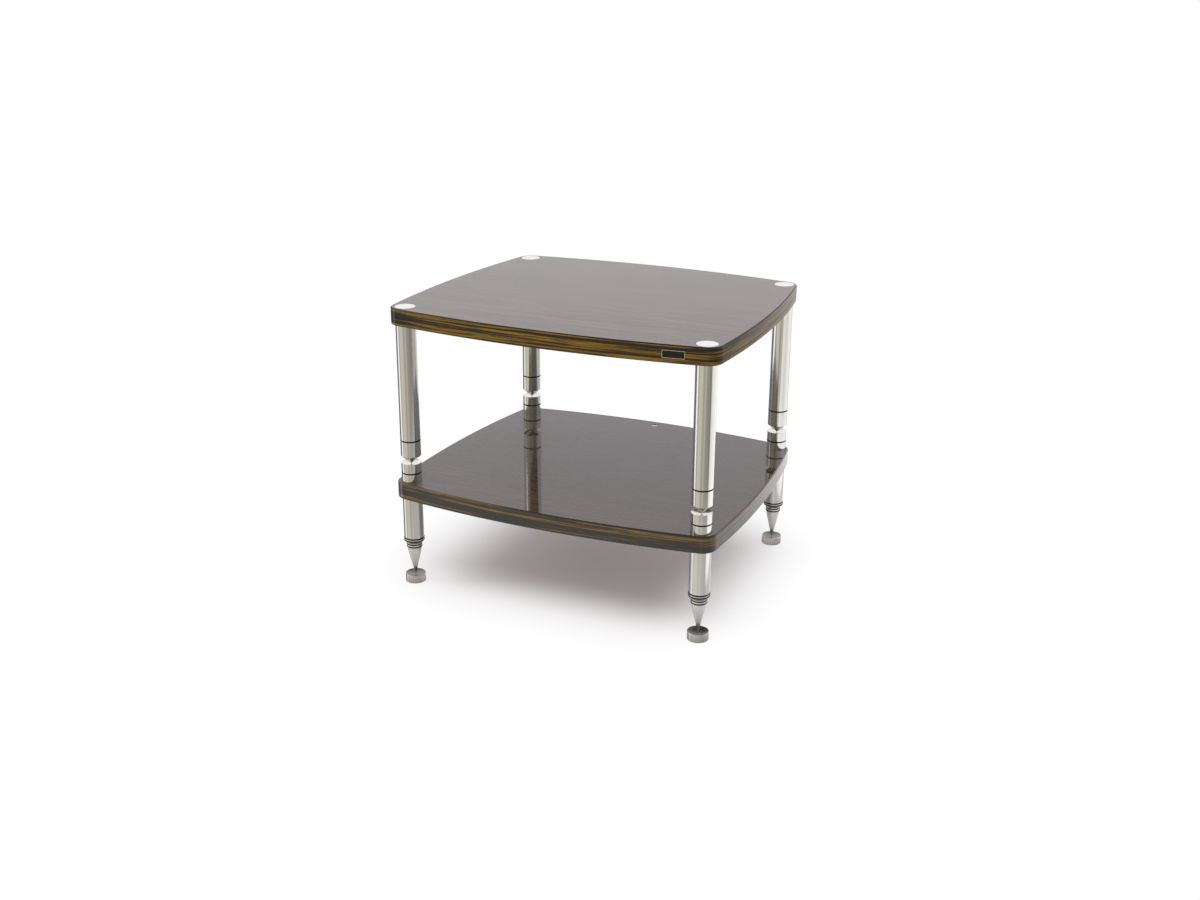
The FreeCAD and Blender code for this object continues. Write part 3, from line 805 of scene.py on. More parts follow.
@dataclass
class Leg:
    """One leg: cap, tubes, nose, cup, spacer, collar, spike and pad, each turned from stainless steel."""

    corner: Corner
    tube_radius: float = 20.0
    tube_wall: float = 3.0
    tube_edge: float = 0.4
    pad_radius: float = 20.5
    pad_height: float = 17.0
    pad_chamfer: float = 0.8
    pad_dish: float = 3.6
    pad_rim: float = 0.7
    pad_edge: float = 0.45
    tip_radius: float = 0.6
    cone_length: float = 54.4
    cone_root: float = 13.5
    land_start: float = 60.8
    land_radius: float = 15.0
    land_length: float = 10.4
    shoulder_length: float = 4.6
    flange_height: float = 0.4
    seat_height: float = 2.7
    spike_edge: float = 0.12
    small_grooves: tuple[float, float] = (0.95, 6.35)
    land_groove_radius: float = 13.2
    foot_groove_radius: float = 18.2
    flush_groove_radius: float = 17.55
    shank_radius: float = 6.0
    shank_length: float = 26.0
    thread_pitch: float = 1.75
    thread_depth: float = 0.95
    thread_sink: float = 0.05
    thread_flat: float = 0.01
    thread_root_share: float = 0.44
    thread_crest_share: float = 0.14
    thread_steps: int = 48
    collar_height: float = 2.1
    collar_bore: float = 6.2
    collar_edge: float = 0.2
    spacer_height: float = 18.45
    spacer_bore: float = 5.5
    spacer_edge: float = 0.25
    cup_height: float = 18.85
    cup_dish: float = 3.1
    cup_rim: float = 0.6
    cup_edge: float = 0.3
    rim_land: float = 0.08
    nose_cone: float = 17.0
    nose_shoulder: float = 0.8
    nose_body: float = 31.65
    nose_edge: float = 0.3
    cap_height: float = 6.0
    cap_boss_height: float = 10.0
    cap_boss_radius: float = 9.0
    cap_edge: float = 0.35
    foot_ring: RingMould = RingMould(20.8)
    land_ring: RingMould = RingMould(15.8)

    @property
    def flange_top(self) -> float:
        """Height of the flange's upper face above the spike's tip."""
        return self.land_start + self.land_length + self.shoulder_length + self.flange_height

    def node(self, kind: str) -> str:
        """Name of this leg's node or body of a kind."""
        return f"{kind}_{self.corner.value}"

    def turned(
        self, kind: str, lathe: Lathe, edge_mm: float, finishes: list[Finish], body: str, segments: int = SOFT
    ) -> None:
        """Turns a section and lets the piece stand for its node.

        Args:
            kind: the kind of node.
            lathe: the section.
            edge_mm: rounding of its edges.
            finishes: its finish, and that of its hollow top where it has one.
            body: the body that carries it.
            segments: faces across the rounding.
        """
        node = self.node(kind)
        mesh = lathe.turn(foot_of(node), edge_mm, segments)
        if len(finishes) > 1:
            # the dish of a pad and of a cup takes the second finish, a tinted copy of the steel: painted
            # shade in the pad's dish, a painted highlight in the cup's
            below_rim = max(vert.co.z for vert in mesh.verts) - mm(self.rim_land)
            for face in mesh.faces:
                level = face.normal.z > DISH_SLOPE
                face.material_index = int(level and face.calc_center_median().z < below_rim)
        make_piece(f"{node}_turned", mesh, finishes, body, node)

    def build(self) -> None:
        """Builds the leg from the floor up."""
        steel, spike, collar = [TURNED_STEEL], self.node("spike"), self.node("collar")
        self.turned("floor_pad", self.pad(), self.pad_edge, [PAD_STEEL, PAD_DISH_PAINTED_SHADE], self.node("pad"), FINE)
        self.spike(spike)
        self.spike_rings(spike)
        section = self.seat(self.collar_bore, self.collar_height, self.foot_groove_radius)
        self.turned("lock_collar", section, self.collar_edge, steel, collar)
        low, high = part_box(self.node("collar_ring"))
        self.foot_ring.make_rings(self.node("collar_ring"), [(low + high) / 2], collar)
        self.tube("lower_column", "lower_level")
        section = self.seat(self.spacer_bore, self.spacer_height, self.flush_groove_radius)
        self.turned("seat_spacer", section, self.spacer_edge, steel, "lower_level")
        self.turned("receiver_cup", self.cup(), self.cup_edge, [TURNED_STEEL, CUP_DISH_PAINTED_HIGHLIGHT], "lower_level", FINE)
        self.turned("spike_nose", self.nose(), self.nose_edge, steel, "upper_level", FINE)
        self.tube("upper_column", "upper_level")
        self.turned("top_cap", self.cap(), self.cap_edge, [CAP_STEEL], "upper_level", FINE)

    def pad(self) -> Lathe:
        """Section of the floor pad: a chamfered disc with a dished top."""
        return Lathe(
            (0, 0),
            (self.pad_radius - self.pad_chamfer, 0),
            (self.pad_radius, self.pad_chamfer),
            (self.pad_radius, self.pad_height),
            (self.pad_radius - self.pad_rim, self.pad_height),
        ).dish(self.pad_dish)

    def spike(self, body: str) -> None:
        """Turns the spike with its long cone, grooved land, flange and real levelling thread.

        Args:
            body: the body that carries it.
        """
        land_end = self.land_start + self.land_length
        flange, seat = self.flange_top, self.flange_top + self.seat_height
        core = self.shank_radius - self.thread_depth
        points = [
            (0, 0),
            (self.tip_radius, 0),
            (self.cone_root, self.cone_length),
            (self.cone_root, self.land_start),
            (self.land_radius, self.land_start),
        ]
        for groove in self.small_grooves:
            low = self.land_start + groove
            high = low + self.seat_height
            points += [(self.land_radius, low), (self.land_groove_radius, low)]
            points += [(self.land_groove_radius, high), (self.land_radius, high)]
        points += [
            (self.land_radius, land_end),
            (self.tube_radius, land_end + self.shoulder_length),
            (self.tube_radius, flange),
            (self.foot_groove_radius, flange),
            (self.foot_groove_radius, seat),
            (core, seat),
            (core, seat + self.shank_length),
            (0, seat + self.shank_length),
        ]
        node = self.node("floor_spike")
        mesh = Lathe(*points).turn(foot_of(node), self.spike_edge)
        self.add_thread(mesh, foot_of(node) + up(seat), core)
        make_piece(f"{node}_turned", mesh, [SPIKE_STEEL], body, node)

    def add_thread(self, mesh: BMesh, foot: Vector, core: float) -> None:
        """Winds the levelling thread round its core as one closed ridge.

        Args:
            mesh: the spike's mesh.
            foot: where the shank begins.
            core: radius of the core under the thread, in millimetres.
        """
        turns = (self.shank_length - self.thread_pitch) / self.thread_pitch
        root = self.thread_pitch * self.thread_root_share
        crest = root * self.thread_crest_share
        inner, outer = core - self.thread_sink, self.shank_radius - self.thread_flat
        lift = foot + up(root)
        ridge = [(inner, -root), (outer, -crest), (outer, crest), (inner, root)]
        corners = [mesh.verts.new(lift + Vector((mm(radius), 0, mm(height)))) for radius, height in ridge]
        start = mesh.faces.new(corners)
        rise = (0, 0, mm(self.thread_pitch) / self.thread_steps)
        sweep(mesh, [start], lift, FULL_TURN * turns, round(turns * self.thread_steps), dvec=rise)
        bmesh.ops.recalc_face_normals(mesh, faces=mesh.faces)

    def spike_rings(self, body: str) -> None:
        """Moulds the two small rings on the land and the large one on the flange.

        Args:
            body: the body that carries them.
        """
        foot, half = foot_of(self.node("floor_spike")), self.seat_height / 2
        node = self.node("spike_rings")
        mesh = bmesh.new()
        for groove in self.small_grooves:
            self.land_ring.add(mesh, foot + up(self.land_start + groove + half))
        self.foot_ring.add(mesh, foot + up(self.flange_top + half))
        finish_mesh(mesh)
        make_piece(f"{node}_moulded", mesh, [O_RING], body, node)

    def seat(self, bore: float, height: float, groove_radius: float) -> Lathe:
        """Section of a bored disc with a ring seat on top, as the collar and the spacer are.

        Args:
            bore: radius of its bore.
            height: height of its full width.
            groove_radius: radius of the seat that carries the ring.

        Returns:
            The section.
        """
        top = height + self.seat_height
        return Lathe(
            (bore, 0),
            (self.tube_radius, 0),
            (self.tube_radius, height),
            (groove_radius, height),
            (groove_radius, top),
            (bore, top),
        ).close()

    def tube(self, kind: str, body: str) -> None:
        """Draws a polished tube between two heights that the frame gives.

        Args:
            kind: the kind of node.
            body: the body that carries it.
        """
        low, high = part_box(self.node(kind))
        length = (high.z - low.z) / mm(1)
        outside, bore = self.tube_radius, self.tube_radius - self.tube_wall
        section = Lathe((bore, 0), (outside, 0), (outside, length), (bore, length)).close()
        self.turned(kind, section, self.tube_edge, [TUBE_STEEL], body, FINE)

    def cup(self) -> Lathe:
        """Section of the cup with its dished seat for the point above."""
        return Lathe(
            (0, 0),
            (self.tube_radius, 0),
            (self.tube_radius, self.cup_height),
            (self.tube_radius - self.cup_rim, self.cup_height),
        ).dish(self.cup_dish)

    def nose(self) -> Lathe:
        """Section of the nose: a short blunt cone under a plain cylinder, with a ring seat on top."""
        shoulder = self.nose_cone + self.nose_body
        top = shoulder + self.seat_height
        return Lathe(
            (0, 0),
            (self.tip_radius, 0),
            (self.tube_radius - self.nose_shoulder, self.nose_cone),
            (self.tube_radius, self.nose_cone + self.nose_shoulder),
            (self.tube_radius, shoulder),
            (self.flush_groove_radius, shoulder),
            (self.flush_groove_radius, top),
            (0, top),
        )

    def cap(self) -> Lathe:
        """Section of the flush cap and the boss under it."""
        top = self.cap_boss_height + self.cap_height
        return Lathe(
            (0, 0),
            (self.cap_boss_radius, 0),
            (self.cap_boss_radius, self.cap_boss_height),
            (self.tube_radius, self.cap_boss_height),
            (self.tube_radius, top),
            (0, top),
        )


@dataclass
class FlushRings:
    """The four rings of one kind that lie almost flush between two turned pieces."""

    node: str
    body: str
    mould: RingMould = RingMould(20.15)

    def build(self) -> None:
        """Builds all four rings as one piece."""
        low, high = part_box(self.node)
        feet = [foot_of(Leg(corner).node("receiver_cup")) for corner in Corner]
        middles = [Vector((foot.x, foot.y, (low.z + high.z) / 2)) for foot in feet]
        self.mould.make_rings(self.node, middles, self.body)


# The shelves


@dataclass
class Shelf:
    """A veneered board: four bowed sides between rounded corners, soft arrises, and a seat over each leg.

    Its finishes are those of deck, band, arris and underside.
    """

    node: str
    body: str
    finishes: list[Finish]
    seat_depth: float
    front_width: float = 670.0
    rear_width: float = 628.0
    depth: float = 540.0
    bow: float = 28.5
    side_bow: float = 18.0
    side_steps: int = 56
    corner_radius: float = 30.0
    corner_steps: int = 14
    arris: float = 2.6
    arris_steps: int = 6
    seat_radius: float = 20.25
    level_radius: float = 7.65
    level_depth: float = 8.8
    joint: float = 0.01

    def build(self) -> None:
        """Builds the board, cuts its seats and lays its deck, band, arris and underside."""
        low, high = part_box(self.node)
        mesh = bmesh.new()
        self.draw_outline(mesh, high.z)
        rim = mesh.edges[:]
        lower_rim = pull_down(mesh, rim, high.z - low.z)
        bmesh.ops.edgeloop_fill(mesh, edges=rim)
        bmesh.ops.edgeloop_fill(mesh, edges=lower_rim)
        bmesh.ops.recalc_face_normals(mesh, faces=mesh.faces)
        bevel_edges(mesh, rim + lower_rim, mm(self.arris), self.arris_steps)
        self.cut_seats(mesh, high.z)
        finish_mesh(mesh)
        for face in mesh.faces:
            slope = abs(face.normal.z)
            face.smooth = slope < LEVEL_FACE
            face.material_index = 0 if slope > DECK_SLOPE else 2 if slope > ARRIS_SLOPE else 1
            if face.normal.z < -DECK_SLOPE:
                face.material_index = 3
        make_piece(f"{self.node}_board", mesh, self.finishes, self.body, self.node)

    def side_circle(self, start: Vector, end: Vector, bow: float) -> tuple[Vector, float]:
        """Finds the arc that bows out between two corners.

        Args:
            start: the first corner, anticlockwise.
            end: the next one.
            bow: how far the arc's middle stands out.

        Returns:
            The arc's middle and radius.
        """
        chord = end - start
        radius = (chord.length_squared / 4 + bow * bow) / (2 * bow)
        inward = Vector((-chord.y, chord.x)).normalized()
        return (start + end) / 2 + inward * (radius - bow), radius

    def corner_middle(
        self, before: tuple[Vector, float], after: tuple[Vector, float], near: Vector
    ) -> Vector:
        """Finds the rounding between two bowed sides, which touches both from inside.

        Args:
            before: middle and radius of the side before the corner.
            after: the same of the side after it.
            near: the sharp corner.

        Returns:
            The rounding's middle.
        """
        first, second = before[1] - self.corner_radius, after[1] - self.corner_radius
        apart = after[0] - before[0]
        along = (first * first - second * second + apart.length_squared) / (2 * apart.length)
        unit = apart.normalized()
        foot = before[0] + unit * along
        off = Vector((-unit.y, unit.x)) * math.sqrt(first * first - along * along)
        return min((foot + off, foot - off), key=lambda point: (point - near).length)

    def draw_outline(self, mesh: BMesh, height: float) -> None:
        """Sweeps the rim of the board, arc by arc, anticlockwise.

        Args:
            mesh: an empty mesh.
            height: the height of the rim, in metres.
        """
        front, rear, half = self.front_width / 2, self.rear_width / 2, self.depth / 2
        corners = [Vector(place) for place in ((-front, -half), (front, -half), (rear, half), (-rear, half))]
        bows = [self.bow, self.side_bow, self.bow, self.side_bow]
        sides = [self.side_circle(corners[i], corners[(i + 1) % 4], bows[i]) for i in range(4)]
        roundings = [self.corner_middle(sides[i - 1], sides[i], corners[i]) for i in range(4)]

        def touch(side: int, corner: int) -> Vector:
            """Where a side and a rounding meet."""
            middle, radius = sides[side]
            return middle + (roundings[corner] - middle).normalized() * radius

        first = touch(0, 0)
        last = mesh.verts.new((mm(first.x), mm(first.y), height))
        for side in range(4):
            following = (side + 1) % 4
            ends = touch(side, side), touch(side, following), touch(following, following)
            arcs = [
                (sides[side][0], ends[0], ends[1], self.side_steps),
                (roundings[following], ends[1], ends[2], self.corner_steps),
            ]
            for middle, start, end, steps in arcs:
                angle = -(start - middle).angle_signed(end - middle)
                centre = Vector((mm(middle.x), mm(middle.y), height))
                last = only_point(sweep(mesh, [last], centre, angle, steps))
        bmesh.ops.remove_doubles(mesh, verts=mesh.verts, dist=mm(self.joint))

    def cut_seats(self, mesh: BMesh, height: float) -> None:
        """Cuts the round seats, and the level's hole where the shelf has one, into the deck.

        Args:
            mesh: the closed board.
            height: the height of the deck.
        """
        deck = max((face for face in mesh.faces if face.normal.z > FACING), key=lambda face: face.calc_area())
        rim = list(deck.edges)
        bmesh.ops.delete(mesh, geom=[deck], context="FACES_ONLY")
        columns = [foot_of(Leg(corner).node("upper_column")) for corner in Corner]
        holes = [(column, self.seat_radius, self.seat_depth) for column in columns]
        if self.node == "lower_shelf":
            holes.append((foot_of("level_case"), self.level_radius, self.level_depth))
        mouths = []
        for place, radius, depth in holes:
            level = Matrix.Translation((place.x, place.y, height))
            mouths.append((add_circle(mesh, radius, ROUND_STEPS, level)[1], depth))
        edges = rim + [edge for mouth, depth in mouths for edge in mouth]
        bmesh.ops.triangle_fill(mesh, use_beauty=True, use_dissolve=False, edges=edges, normal=(0, 0, 1))
        for mouth, depth in mouths:
            bmesh.ops.edgeloop_fill(mesh, edges=pull_down(mesh, mouth, mm(depth)))


# Small parts


@dataclass
class BadgePlate:
    """Bare plate with a bright-cut frame on the bowed front edge of the top shelf."""

    shelf: Shelf
    width: float = 42.0
    height: float = 14.5
    thickness: float = 1.0
    corner_radius: float = 1.5
    corner_steps: int = 6
    frame_width: float = 0.9
    frame_height: float = 0.35
    edge: float = 0.12
    edge_from_degrees: float = 60.0
    from_middle: float = 257.5
    glue: float = 0.05

    def build(self) -> None:
        """Builds the plate flat and sets it on the edge."""
        mesh = bmesh.new()
        size = Matrix.Diagonal((mm(self.width), mm(self.thickness), mm(self.height), 1))
        shift = Matrix.Translation((0, -mm(self.thickness) / 2, 0))
        bmesh.ops.create_cube(mesh, size=1.0, matrix=shift @ size)
        runs = [(edge, (edge.verts[0].co - edge.verts[1].co).normalized()) for edge in mesh.edges]
        across = [edge for edge, run in runs if abs(run.y) > FACING]
        bevel_edges(mesh, across, mm(self.corner_radius), self.corner_steps)
        front = min(mesh.faces, key=lambda face: face.calc_center_median().y)
        bmesh.ops.inset_region(mesh, faces=[front], thickness=mm(self.frame_width), use_even_offset=True)
        facing = [face for face in mesh.faces if face.normal.y < -FACING]
        field = max(facing, key=lambda face: face.calc_area())
        sunk = bmesh.ops.extrude_discrete_faces(mesh, faces=[field])["faces"][0]
        bmesh.ops.translate(mesh, verts=list(sunk.verts), vec=(0, mm(self.frame_height), 0))
        bevel_sharp(mesh, mm(self.edge), SOFT, self.edge_from_degrees)
        finish_mesh(mesh)
        for face in mesh.faces:
            middle = face.calc_center_median()
            inner = abs(middle.x) < mm(self.width / 2 - self.frame_width) - TOUCH
            inner = inner and abs(middle.z) < mm(self.height / 2 - self.frame_width) - TOUCH
            face.material_index = int(inner and middle.y > mm(self.frame_height / 2 - self.thickness))
        bmesh.ops.transform(mesh, verts=mesh.verts, matrix=self.on_edge())
        make_piece("badge_plate_bare", mesh, [BADGE_FRAME, BADGE_FIELD], "upper_level", "badge_plate")

    def on_edge(self) -> Matrix:
        """Finds where the plate lies on the bow.

        Returns:
            The turn and place that set it there.
        """
        board = self.shelf
        half = board.front_width / 2
        radius = (half * half + board.bow * board.bow) / (2 * board.bow)
        turn = math.asin(self.from_middle / radius)
        reach = radius + self.glue
        middle_y = radius - board.depth / 2 - board.bow
        low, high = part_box("badge_plate")
        x, y = reach * math.sin(turn), middle_y - reach * math.cos(turn)
        place = Vector((mm(x), mm(y), (low.z + high.z) / 2))
        return Matrix.Translation(place) @ Matrix.Rotation(turn, 4, "Z")


@dataclass
class SpiritLevel:
    """Round level let into the lower shelf near its rear edge."""

    radius: float = 7.5
    height: float = 8.0
    wall: float = 0.8
    window: float = 1.6
    fit: float = 0.02
    bubble_radius: float = 2.0
    bubble_depth: float = 0.9
    steps: int = 64
    case_edge: float = 0.15
    spirit_edge: float = 0.05
    window_edge: float = 0.12

    def build(self) -> None:
        """Builds the case, the spirit with its bubble and the window."""
        foot = foot_of("level_case")
        inside, under = self.radius - self.wall, self.height - self.window
        case = [(0, 0), (self.radius, 0), (self.radius, self.height)]
        case += [(inside, self.height), (inside, self.wall), (0, self.wall)]
        filled = inside - self.fit
        spirit = [(0, self.wall), (filled, self.wall), (filled, under), (self.bubble_radius, under)]
        pane = [(0, under + self.fit), (filled, under + self.fit), (filled, self.height), (0, self.height)]
        bubble = Lathe(*spirit, steps=self.steps).dish(self.bubble_depth)
        parts = [
            ("level_case", Lathe(*case, steps=self.steps), self.case_edge, LEVEL_CASE),
            ("level_liquid", bubble, self.spirit_edge, SPIRIT),
            ("level_window", Lathe(*pane, steps=self.steps), self.window_edge, WINDOW),
        ]
        for node, section, edge_mm, finish in parts:
            make_piece(f"{node}_turned", section.turn(foot, edge_mm), [finish], "lower_level", node)


@dataclass
class HiddenFixings:
    """Plugs and studs inside the tubes: their CAD shapes stay, in their own metal."""

    plugs: tuple[str, ...] = ("levelling_plugs", "lower_column_plugs", "upper_column_plugs")
    studs: tuple[str, ...] = ("shelf_studs", "nose_studs", "top_studs")

    def dress(self, nodes: dict[str, bpy.types.Object]) -> None:
        """Gives each node its metal.

        Args:
            nodes: the frame's objects by node.
        """
        for names, finish in ((self.plugs, PLUG), (self.studs, ZINC)):
            for name in names:
                for slot in nodes[name].material_slots:
                    slot.material = finish.material()
                log.info("%s keeps its CAD shape in %s", name, finish.name)


# The studio


@dataclass(frozen=True)
class Softbox:
    """One soft lamp, in metres and watts: its place, aim, size and power, and whether metal mirrors it."""

    name: str
    place: tuple[float, float, float]
    aim: tuple[float, float, float]
    size: tuple[float, float]
    watts: float
    in_metal: bool = True
    only_on: str = ""

    def hang(self) -> None:
        """Hangs the lamp, and keeps its light to the pieces whose names hold its word, if it has one."""
        data = bpy.data.lights.new(self.name, "AREA")
        data.shape = "RECTANGLE"
        data.size, data.size_y = self.size
        data.energy = self.watts
        lamp = show(self.name, data)
        lamp.location = self.place
        lamp.rotation_mode = "QUATERNION"
        lamp.rotation_quaternion = (Vector(self.aim) - Vector(self.place)).to_track_quat("-Z", "Y")
        lamp.visible_glossy = self.in_metal
        if self.only_on:
            lit = bpy.data.collections.new(f"{self.name}_lights")
            for piece in bpy.context.scene.objects:
                if self.only_on in piece.name:
                    lit.objects.link(piece)
            lamp.light_linking.receiver_collection = lit


RACK_MIDDLE = (0.0, 0.0, 0.3)
SOFTBOXES = (
    Softbox("key_softbox", (0.4, -1.25, 2.8), RACK_MIDDLE, (1.6, 1.6), 28.0, in_metal=False),
    Softbox("fill_softbox", (-1.9, -0.9, 1.7), RACK_MIDDLE, (0.5, 1.2), 6.0),
    Softbox("side_softbox", (0.62, 0.225, 0.24), (0.0, 0.225, 0.24), (1.05, 0.52), 1.2, only_on="right"),
)


@dataclass
class Studio:
    """Camera, pale floor, white room and soft lamps; places and lengths in metres, turns in degrees.

    The metal mirrors a room of its own, which neither the eye nor the plain light sees. Its walls are given
    by their turn from the front, anticlockwise as seen from above.
    """

    camera_place: tuple[float, float, float] = (1.1266, -2.5186, 1.2414)
    camera_yaw: float = 24.259
    camera_pitch: float = 19.789
    camera_roll: float = 0.397
    focal_px: float = 1427.2
    floor_radius: float = 1.6
    floor_sides: int = 128
    shadow_middle: tuple[float, float, float] = (-0.02, 0.03, 0.0)
    shadow_core: tuple[float, float, float] = (0.15, 0.12, 0.0)
    shadow_span: tuple[float, float] = (0.01, 0.3)
    shadow_lift: float = 0.08
    paper: str = "F3ECEF"
    plain_level: float = 0.74
    pool_middle: tuple[float, float, float] = (0.35, -0.05, 0.0)
    pool_span: tuple[float, float] = (0.45, 1.0)
    pool_share: float = 0.45
    foot_shadow: float = 0.52
    foot_shadow_span: tuple[float, float] = (0.022, 0.085)
    back_room: str = "F9F6FB"
    back_span: tuple[float, float] = (-0.45, 0.35)
    overhead: str = "8F8F92"
    overhead_span: tuple[float, float] = (0.55, 0.85)
    horizon_span: tuple[float, float] = (-0.02, 0.08)
    floor_in_metal: str = "E0DEDC"
    floor_span: tuple[float, float] = (-0.5, -0.68)
    mirror_gain: float = 1.5
    ramp_start: float = -155.7
    walls: tuple[tuple[float, str], ...] = (
        (-155.7, "F4F4F3"), (-150.0, "74726F"), (-92.0, "6B6966"), (-82.0, "FFFFFF"),
        (-69.0, "FFFFFF"), (-63.0, "A9A6A2"), (-52.0, "A29F9A"), (-46.0, "C6C3B4"),
        (-10.0, "BDBAA4"), (-4.0, "A4A195"), (8.0, "9C988E"), (14.0, "B4B0A9"),
        (24.0, "B1ADA6"), (30.0, "99948A"), (60.0, "8C887F"), (76.0, "7A7870"),
        (90.0, "8A8881"), (104.0, "A9A6A0"), (145.0, "B5B2AE"), (168.0, "DCDAD8"),
        (204.3, "F4F4F3"),
    )

    def build(self) -> None:
        """Sets up floor, room and lamps."""
        self.add_floor()
        self.add_room()
        for softbox in SOFTBOXES:
            softbox.hang()
        log.info("studio: camera, floor, room and %d softboxes", len(SOFTBOXES))

    def add_camera(self) -> None:
        """Sets the camera at the photograph's place and angle."""
        data = bpy.data.cameras.new("camera")
        data.sensor_width = SENSOR_MM
        data.lens = self.focal_px * SENSOR_MM / IMAGE_WIDTH_PX
        camera = show("camera", data)
        bpy.context.scene.camera = camera
        turn = Matrix.Rotation(math.radians(self.camera_yaw), 4, "Z")
        tilt = Matrix.Rotation(math.radians(90 - self.camera_pitch), 4, "X")
        roll = Matrix.Rotation(math.radians(self.camera_roll), 4, "Z")
        camera.matrix_world = Matrix.Translation(self.camera_place) @ turn @ tilt @ roll

    def add_floor(self) -> None:
        """Lays a round white floor that keeps the rack's soft shadow and fades into the white room."""
        mesh = bmesh.new()
        bmesh.ops.create_circle(mesh, cap_ends=True, radius=self.floor_radius, segments=self.floor_sides)
        floor = show("studio_floor", to_data("studio_floor", mesh))
        floor.data.materials.append(self.floor_material())

    def floor_material(self) -> bpy.types.Material:
        """White paper: it keeps the rack's shadow, is plain white further out, and is clear from below.

        Metal sees a pool of light on it and a shadow round each foot, and through it the room's lower walls.

        Returns:
            The floor's material.
        """
        material = new_material("white_paper_floor")
        tree = material.node_tree
        here = add_node(tree, "TexCoord").outputs["Object"]
        ray = add_node(tree, "LightPath").outputs
        paper = add_node(tree, "BsdfDiffuse", inputs={"Color": linear(self.paper)}).outputs[0]
        clear = add_node(tree, "BsdfTransparent").outputs[0]
        lights = [{"Color": linear(WHITE), "Strength": strength} for strength in (1.0, 0.0)]
        white, dark = (add_node(tree, "Emission", inputs=light).outputs[0] for light in lights)
        outside, nothing = here, (0.0, 0.0, 0.0)
        steps = [("SUBTRACT", self.shadow_middle), ("ABSOLUTE", nothing)]
        steps += [("SUBTRACT", self.shadow_core), ("MAXIMUM", nothing)]
        for step, other in steps:
            outside = add_node(tree, "VectorMath", {"operation": step}, {0: outside, 1: other}).outputs[0]
        away = add_node(tree, "VectorMath", {"operation": "LENGTH"}, {0: outside}).outputs["Value"]
        fading = dict(zip(RANGE, (away, *self.shadow_span, self.shadow_lift, 1.0)))
        fade = add_node(tree, "MapRange", SMOOTH, fading).outputs[0]
        seen = ray["Is Camera Ray"]
        for other in ("Is Glossy Ray", "Is Transmission Ray"):
            seen = add_node(tree, "Math", LARGER, {0: seen, 1: ray[other]}).outputs[0]
        past_shadow = add_node(tree, "Math", TIMES, {0: fade, 1: seen}).outputs[0]
        to_pool = add_node(tree, "VectorMath", DISTANCE, {0: here, 1: self.pool_middle}).outputs["Value"]
        pooling = dict(zip(RANGE, (to_pool, *self.pool_span, self.pool_share, 0.0)))
        pool = add_node(tree, "MapRange", SMOOTH, pooling).outputs[0]
        lit = add_node(tree, "MixShader", inputs={0: pool, 1: clear, 2: white}).outputs[0]
        at_foot = self.at_a_foot(tree, here)
        in_metal = add_node(tree, "MixShader", inputs={0: at_foot, 1: lit, 2: dark}).outputs[0]
        eye_or_metal = {0: ray["Is Glossy Ray"], 1: white, 2: in_metal}
        around = add_node(tree, "MixShader", inputs=eye_or_metal).outputs[0]
        top = add_node(tree, "MixShader", inputs={0: past_shadow, 1: paper, 2: around}).outputs[0]
        from_below = add_node(tree, "NewGeometry").outputs["Backfacing"]
        both = add_node(tree, "MixShader", inputs={0: from_below, 1: top, 2: clear}).outputs[0]
        add_node(tree, "OutputMaterial", inputs={"Surface": both})
        return material

    def at_a_foot(self, tree: NodeTree, place: NodeSocket) -> NodeSocket:
        """Reckons the shadow that each foot casts round itself, which the cone above it mirrors.

        Args:
            tree: the floor's node tree.
            place: the place on the floor.

        Returns:
            The share of the light that is missing there.
        """
        nearest = None
        for corner in Corner:
            foot = foot_of(Leg(corner).node("floor_pad"))
            to_foot = {0: place, 1: (foot.x, foot.y, 0.0)}
            gap = add_node(tree, "VectorMath", DISTANCE, to_foot).outputs["Value"]
            if nearest is not None:
                gap = add_node(tree, "Math", {"operation": "MINIMUM"}, {0: nearest, 1: gap}).outputs[0]
            nearest = gap
        shading = dict(zip(RANGE, (nearest, *self.foot_shadow_span, self.foot_shadow, 0.0)))
        return add_node(tree, "MapRange", inputs=shading).outputs[0]

    def add_room(self) -> None:
        """White room: plain light on the object, and the studio's bright and dark sides in the metal."""
        world = bpy.data.worlds.new("studio_room")
        bpy.context.scene.world = world
        world.use_nodes = True
        tree = world.node_tree
        tree.nodes.clear()
        away = add_node(tree, "TexCoord").outputs["Generated"]
        x, y, z = add_node(tree, "SeparateXYZ", inputs={0: away}).outputs
        walls = self.walls_round(tree, x, y)
        spans = [(y, *self.back_span), (z, *self.overhead_span)]
        spans += [(z, *self.floor_span), (z, *self.horizon_span)]
        behind, high, steep, over = (
            add_node(tree, "MapRange", SMOOTH, dict(zip(RANGE, span))).outputs[0] for span in spans
        )
        across = add_node(tree, "Mix", COLOURS, {0: behind, 6: walls, 7: linear(self.back_room)}).outputs[2]
        above = add_node(tree, "Mix", COLOURS, {0: high, 6: across, 7: linear(self.overhead)}).outputs[2]
        floor = linear(self.floor_in_metal)
        below = add_node(tree, "Mix", COLOURS, {0: steep, 6: walls, 7: floor}).outputs[2]
        in_metal = add_node(tree, "Mix", COLOURS, {0: over, 6: below, 7: above}).outputs[2]
        lights = [(linear(WHITE), self.plain_level), (in_metal, 1.0), (linear(WHITE), 1.0)]
        plain, mirror, white = (
            add_node(tree, "Background", inputs={"Color": colour, "Strength": strength}).outputs[0]
            for colour, strength in lights
        )
        ray = add_node(tree, "LightPath").outputs
        lit = add_node(tree, "MixShader", inputs={0: ray["Is Glossy Ray"], 1: plain, 2: mirror}).outputs[0]
        looking = {0: ray["Is Camera Ray"], 1: ray["Is Transmission Ray"]}
        clear = add_node(tree, "Math", LARGER, looking).outputs[0]
        seen = add_node(tree, "MixShader", inputs={0: clear, 1: lit, 2: white}).outputs[0]
        add_node(tree, "OutputWorld", inputs={"Surface": seen})

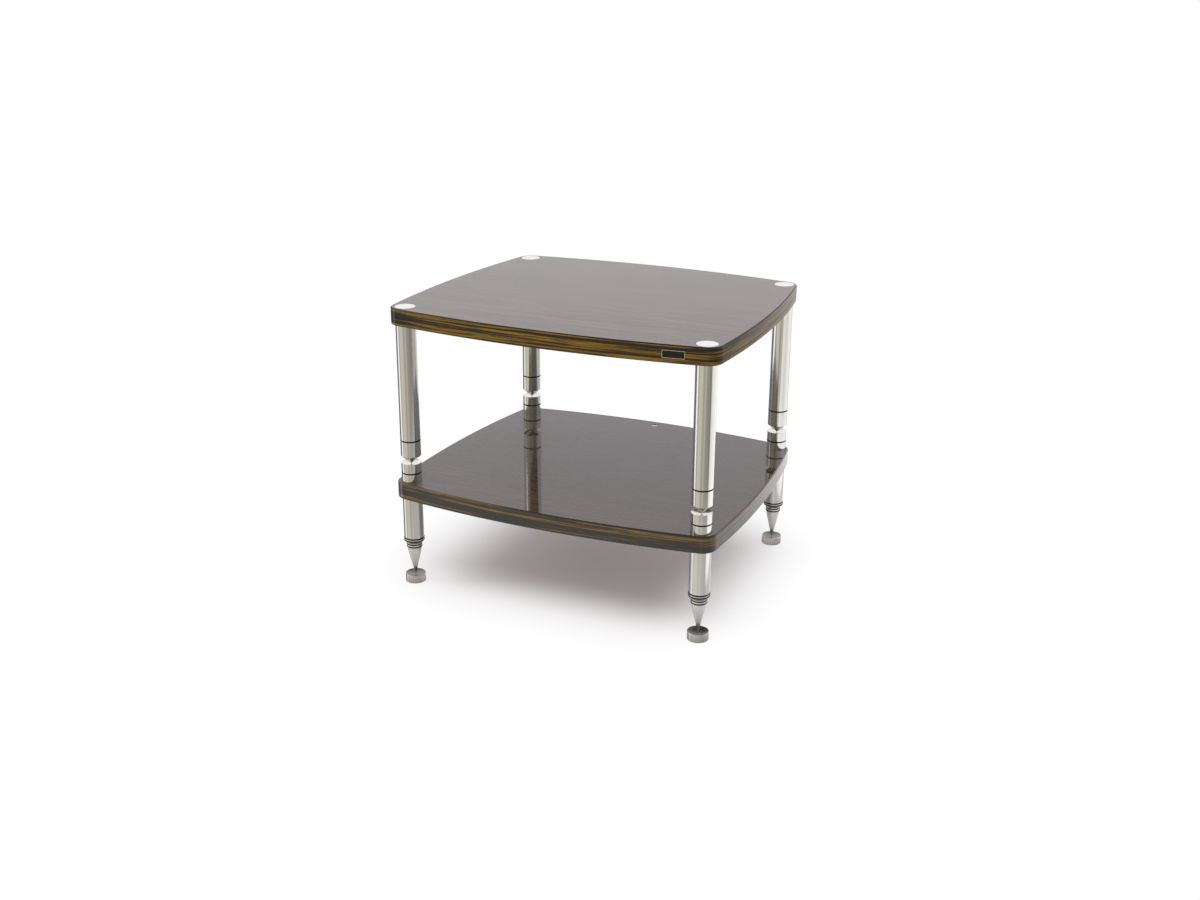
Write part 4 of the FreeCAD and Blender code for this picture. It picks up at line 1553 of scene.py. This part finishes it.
    def walls_round(self, tree: NodeTree, x: NodeSocket, y: NodeSocket) -> NodeSocket:
        """Paints the walls that metal mirrors, by the turn from the front.

        Args:
            tree: the world's node tree.
            x: the direction's part to the right.
            y: its part to the rear.

        Returns:
            The wall's colour that way.
        """
        start, end = math.radians(self.ramp_start), math.radians(self.ramp_start) + FULL_TURN
        front = add_node(tree, "Math", TIMES, {0: y, 1: -1.0}).outputs[0]
        turn = add_node(tree, "Math", {"operation": "ARCTAN2"}, {0: x, 1: front}).outputs[0]
        turn = add_node(tree, "Math", {"operation": "WRAP"}, {0: turn, 1: end, 2: start}).outputs[0]
        share = add_node(tree, "MapRange", inputs=dict(zip(RANGE, (turn, start, end)))).outputs[0]
        stops = [((degrees - self.ramp_start) / 360, colour) for degrees, colour in self.walls]
        sides = add_node(tree, "ValToRGB", inputs={"Fac": share}, stops=stops).outputs["Color"]
        gain = (self.mirror_gain,) * 3 + (1.0,)
        brighter = {"data_type": "RGBA", "blend_type": "MULTIPLY"}
        return add_node(tree, "Mix", brighter, {0: 1.0, 6: sides, 7: gain}).outputs[2]


def main() -> None:
    """Builds the dressed rack, piece by piece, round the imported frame."""
    logging.basicConfig(level=logging.INFO, format="%(name)s: %(message)s")
    for leftover in list(bpy.data.objects):
        bpy.data.objects.remove(leftover)
    bpy.context.scene.view_settings.view_transform = "Standard"
    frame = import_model()
    studio = Studio()
    studio.add_camera()
    # the top shelf's arris takes the darker copy of its band, a painted dark reflection; the lower shelf's
    # arris keeps its band
    top = Shelf("top_shelf", "upper_level", [TOP_DECK, TOP_BAND, TOP_ARRIS_PAINTED_REFLECTION, UNDERSIDE], seat_depth=6.0)
    lower = Shelf(
        "lower_shelf", "lower_level", [LOWER_DECK, LOWER_BAND, LOWER_BAND, UNDERSIDE], seat_depth=1.5
    )
    for shelf in (top, lower):
        shelf.build()
    for corner in Corner:
        Leg(corner).build()
    for rings in (FlushRings("receiver_rings", "lower_level"), FlushRings("nose_rings", "upper_level")):
        rings.build()
    BadgePlate(top).build()
    SpiritLevel().build()
    HiddenFixings().dress(frame["nodes"])
    studio.build()


if __name__ == "__main__":
    main()
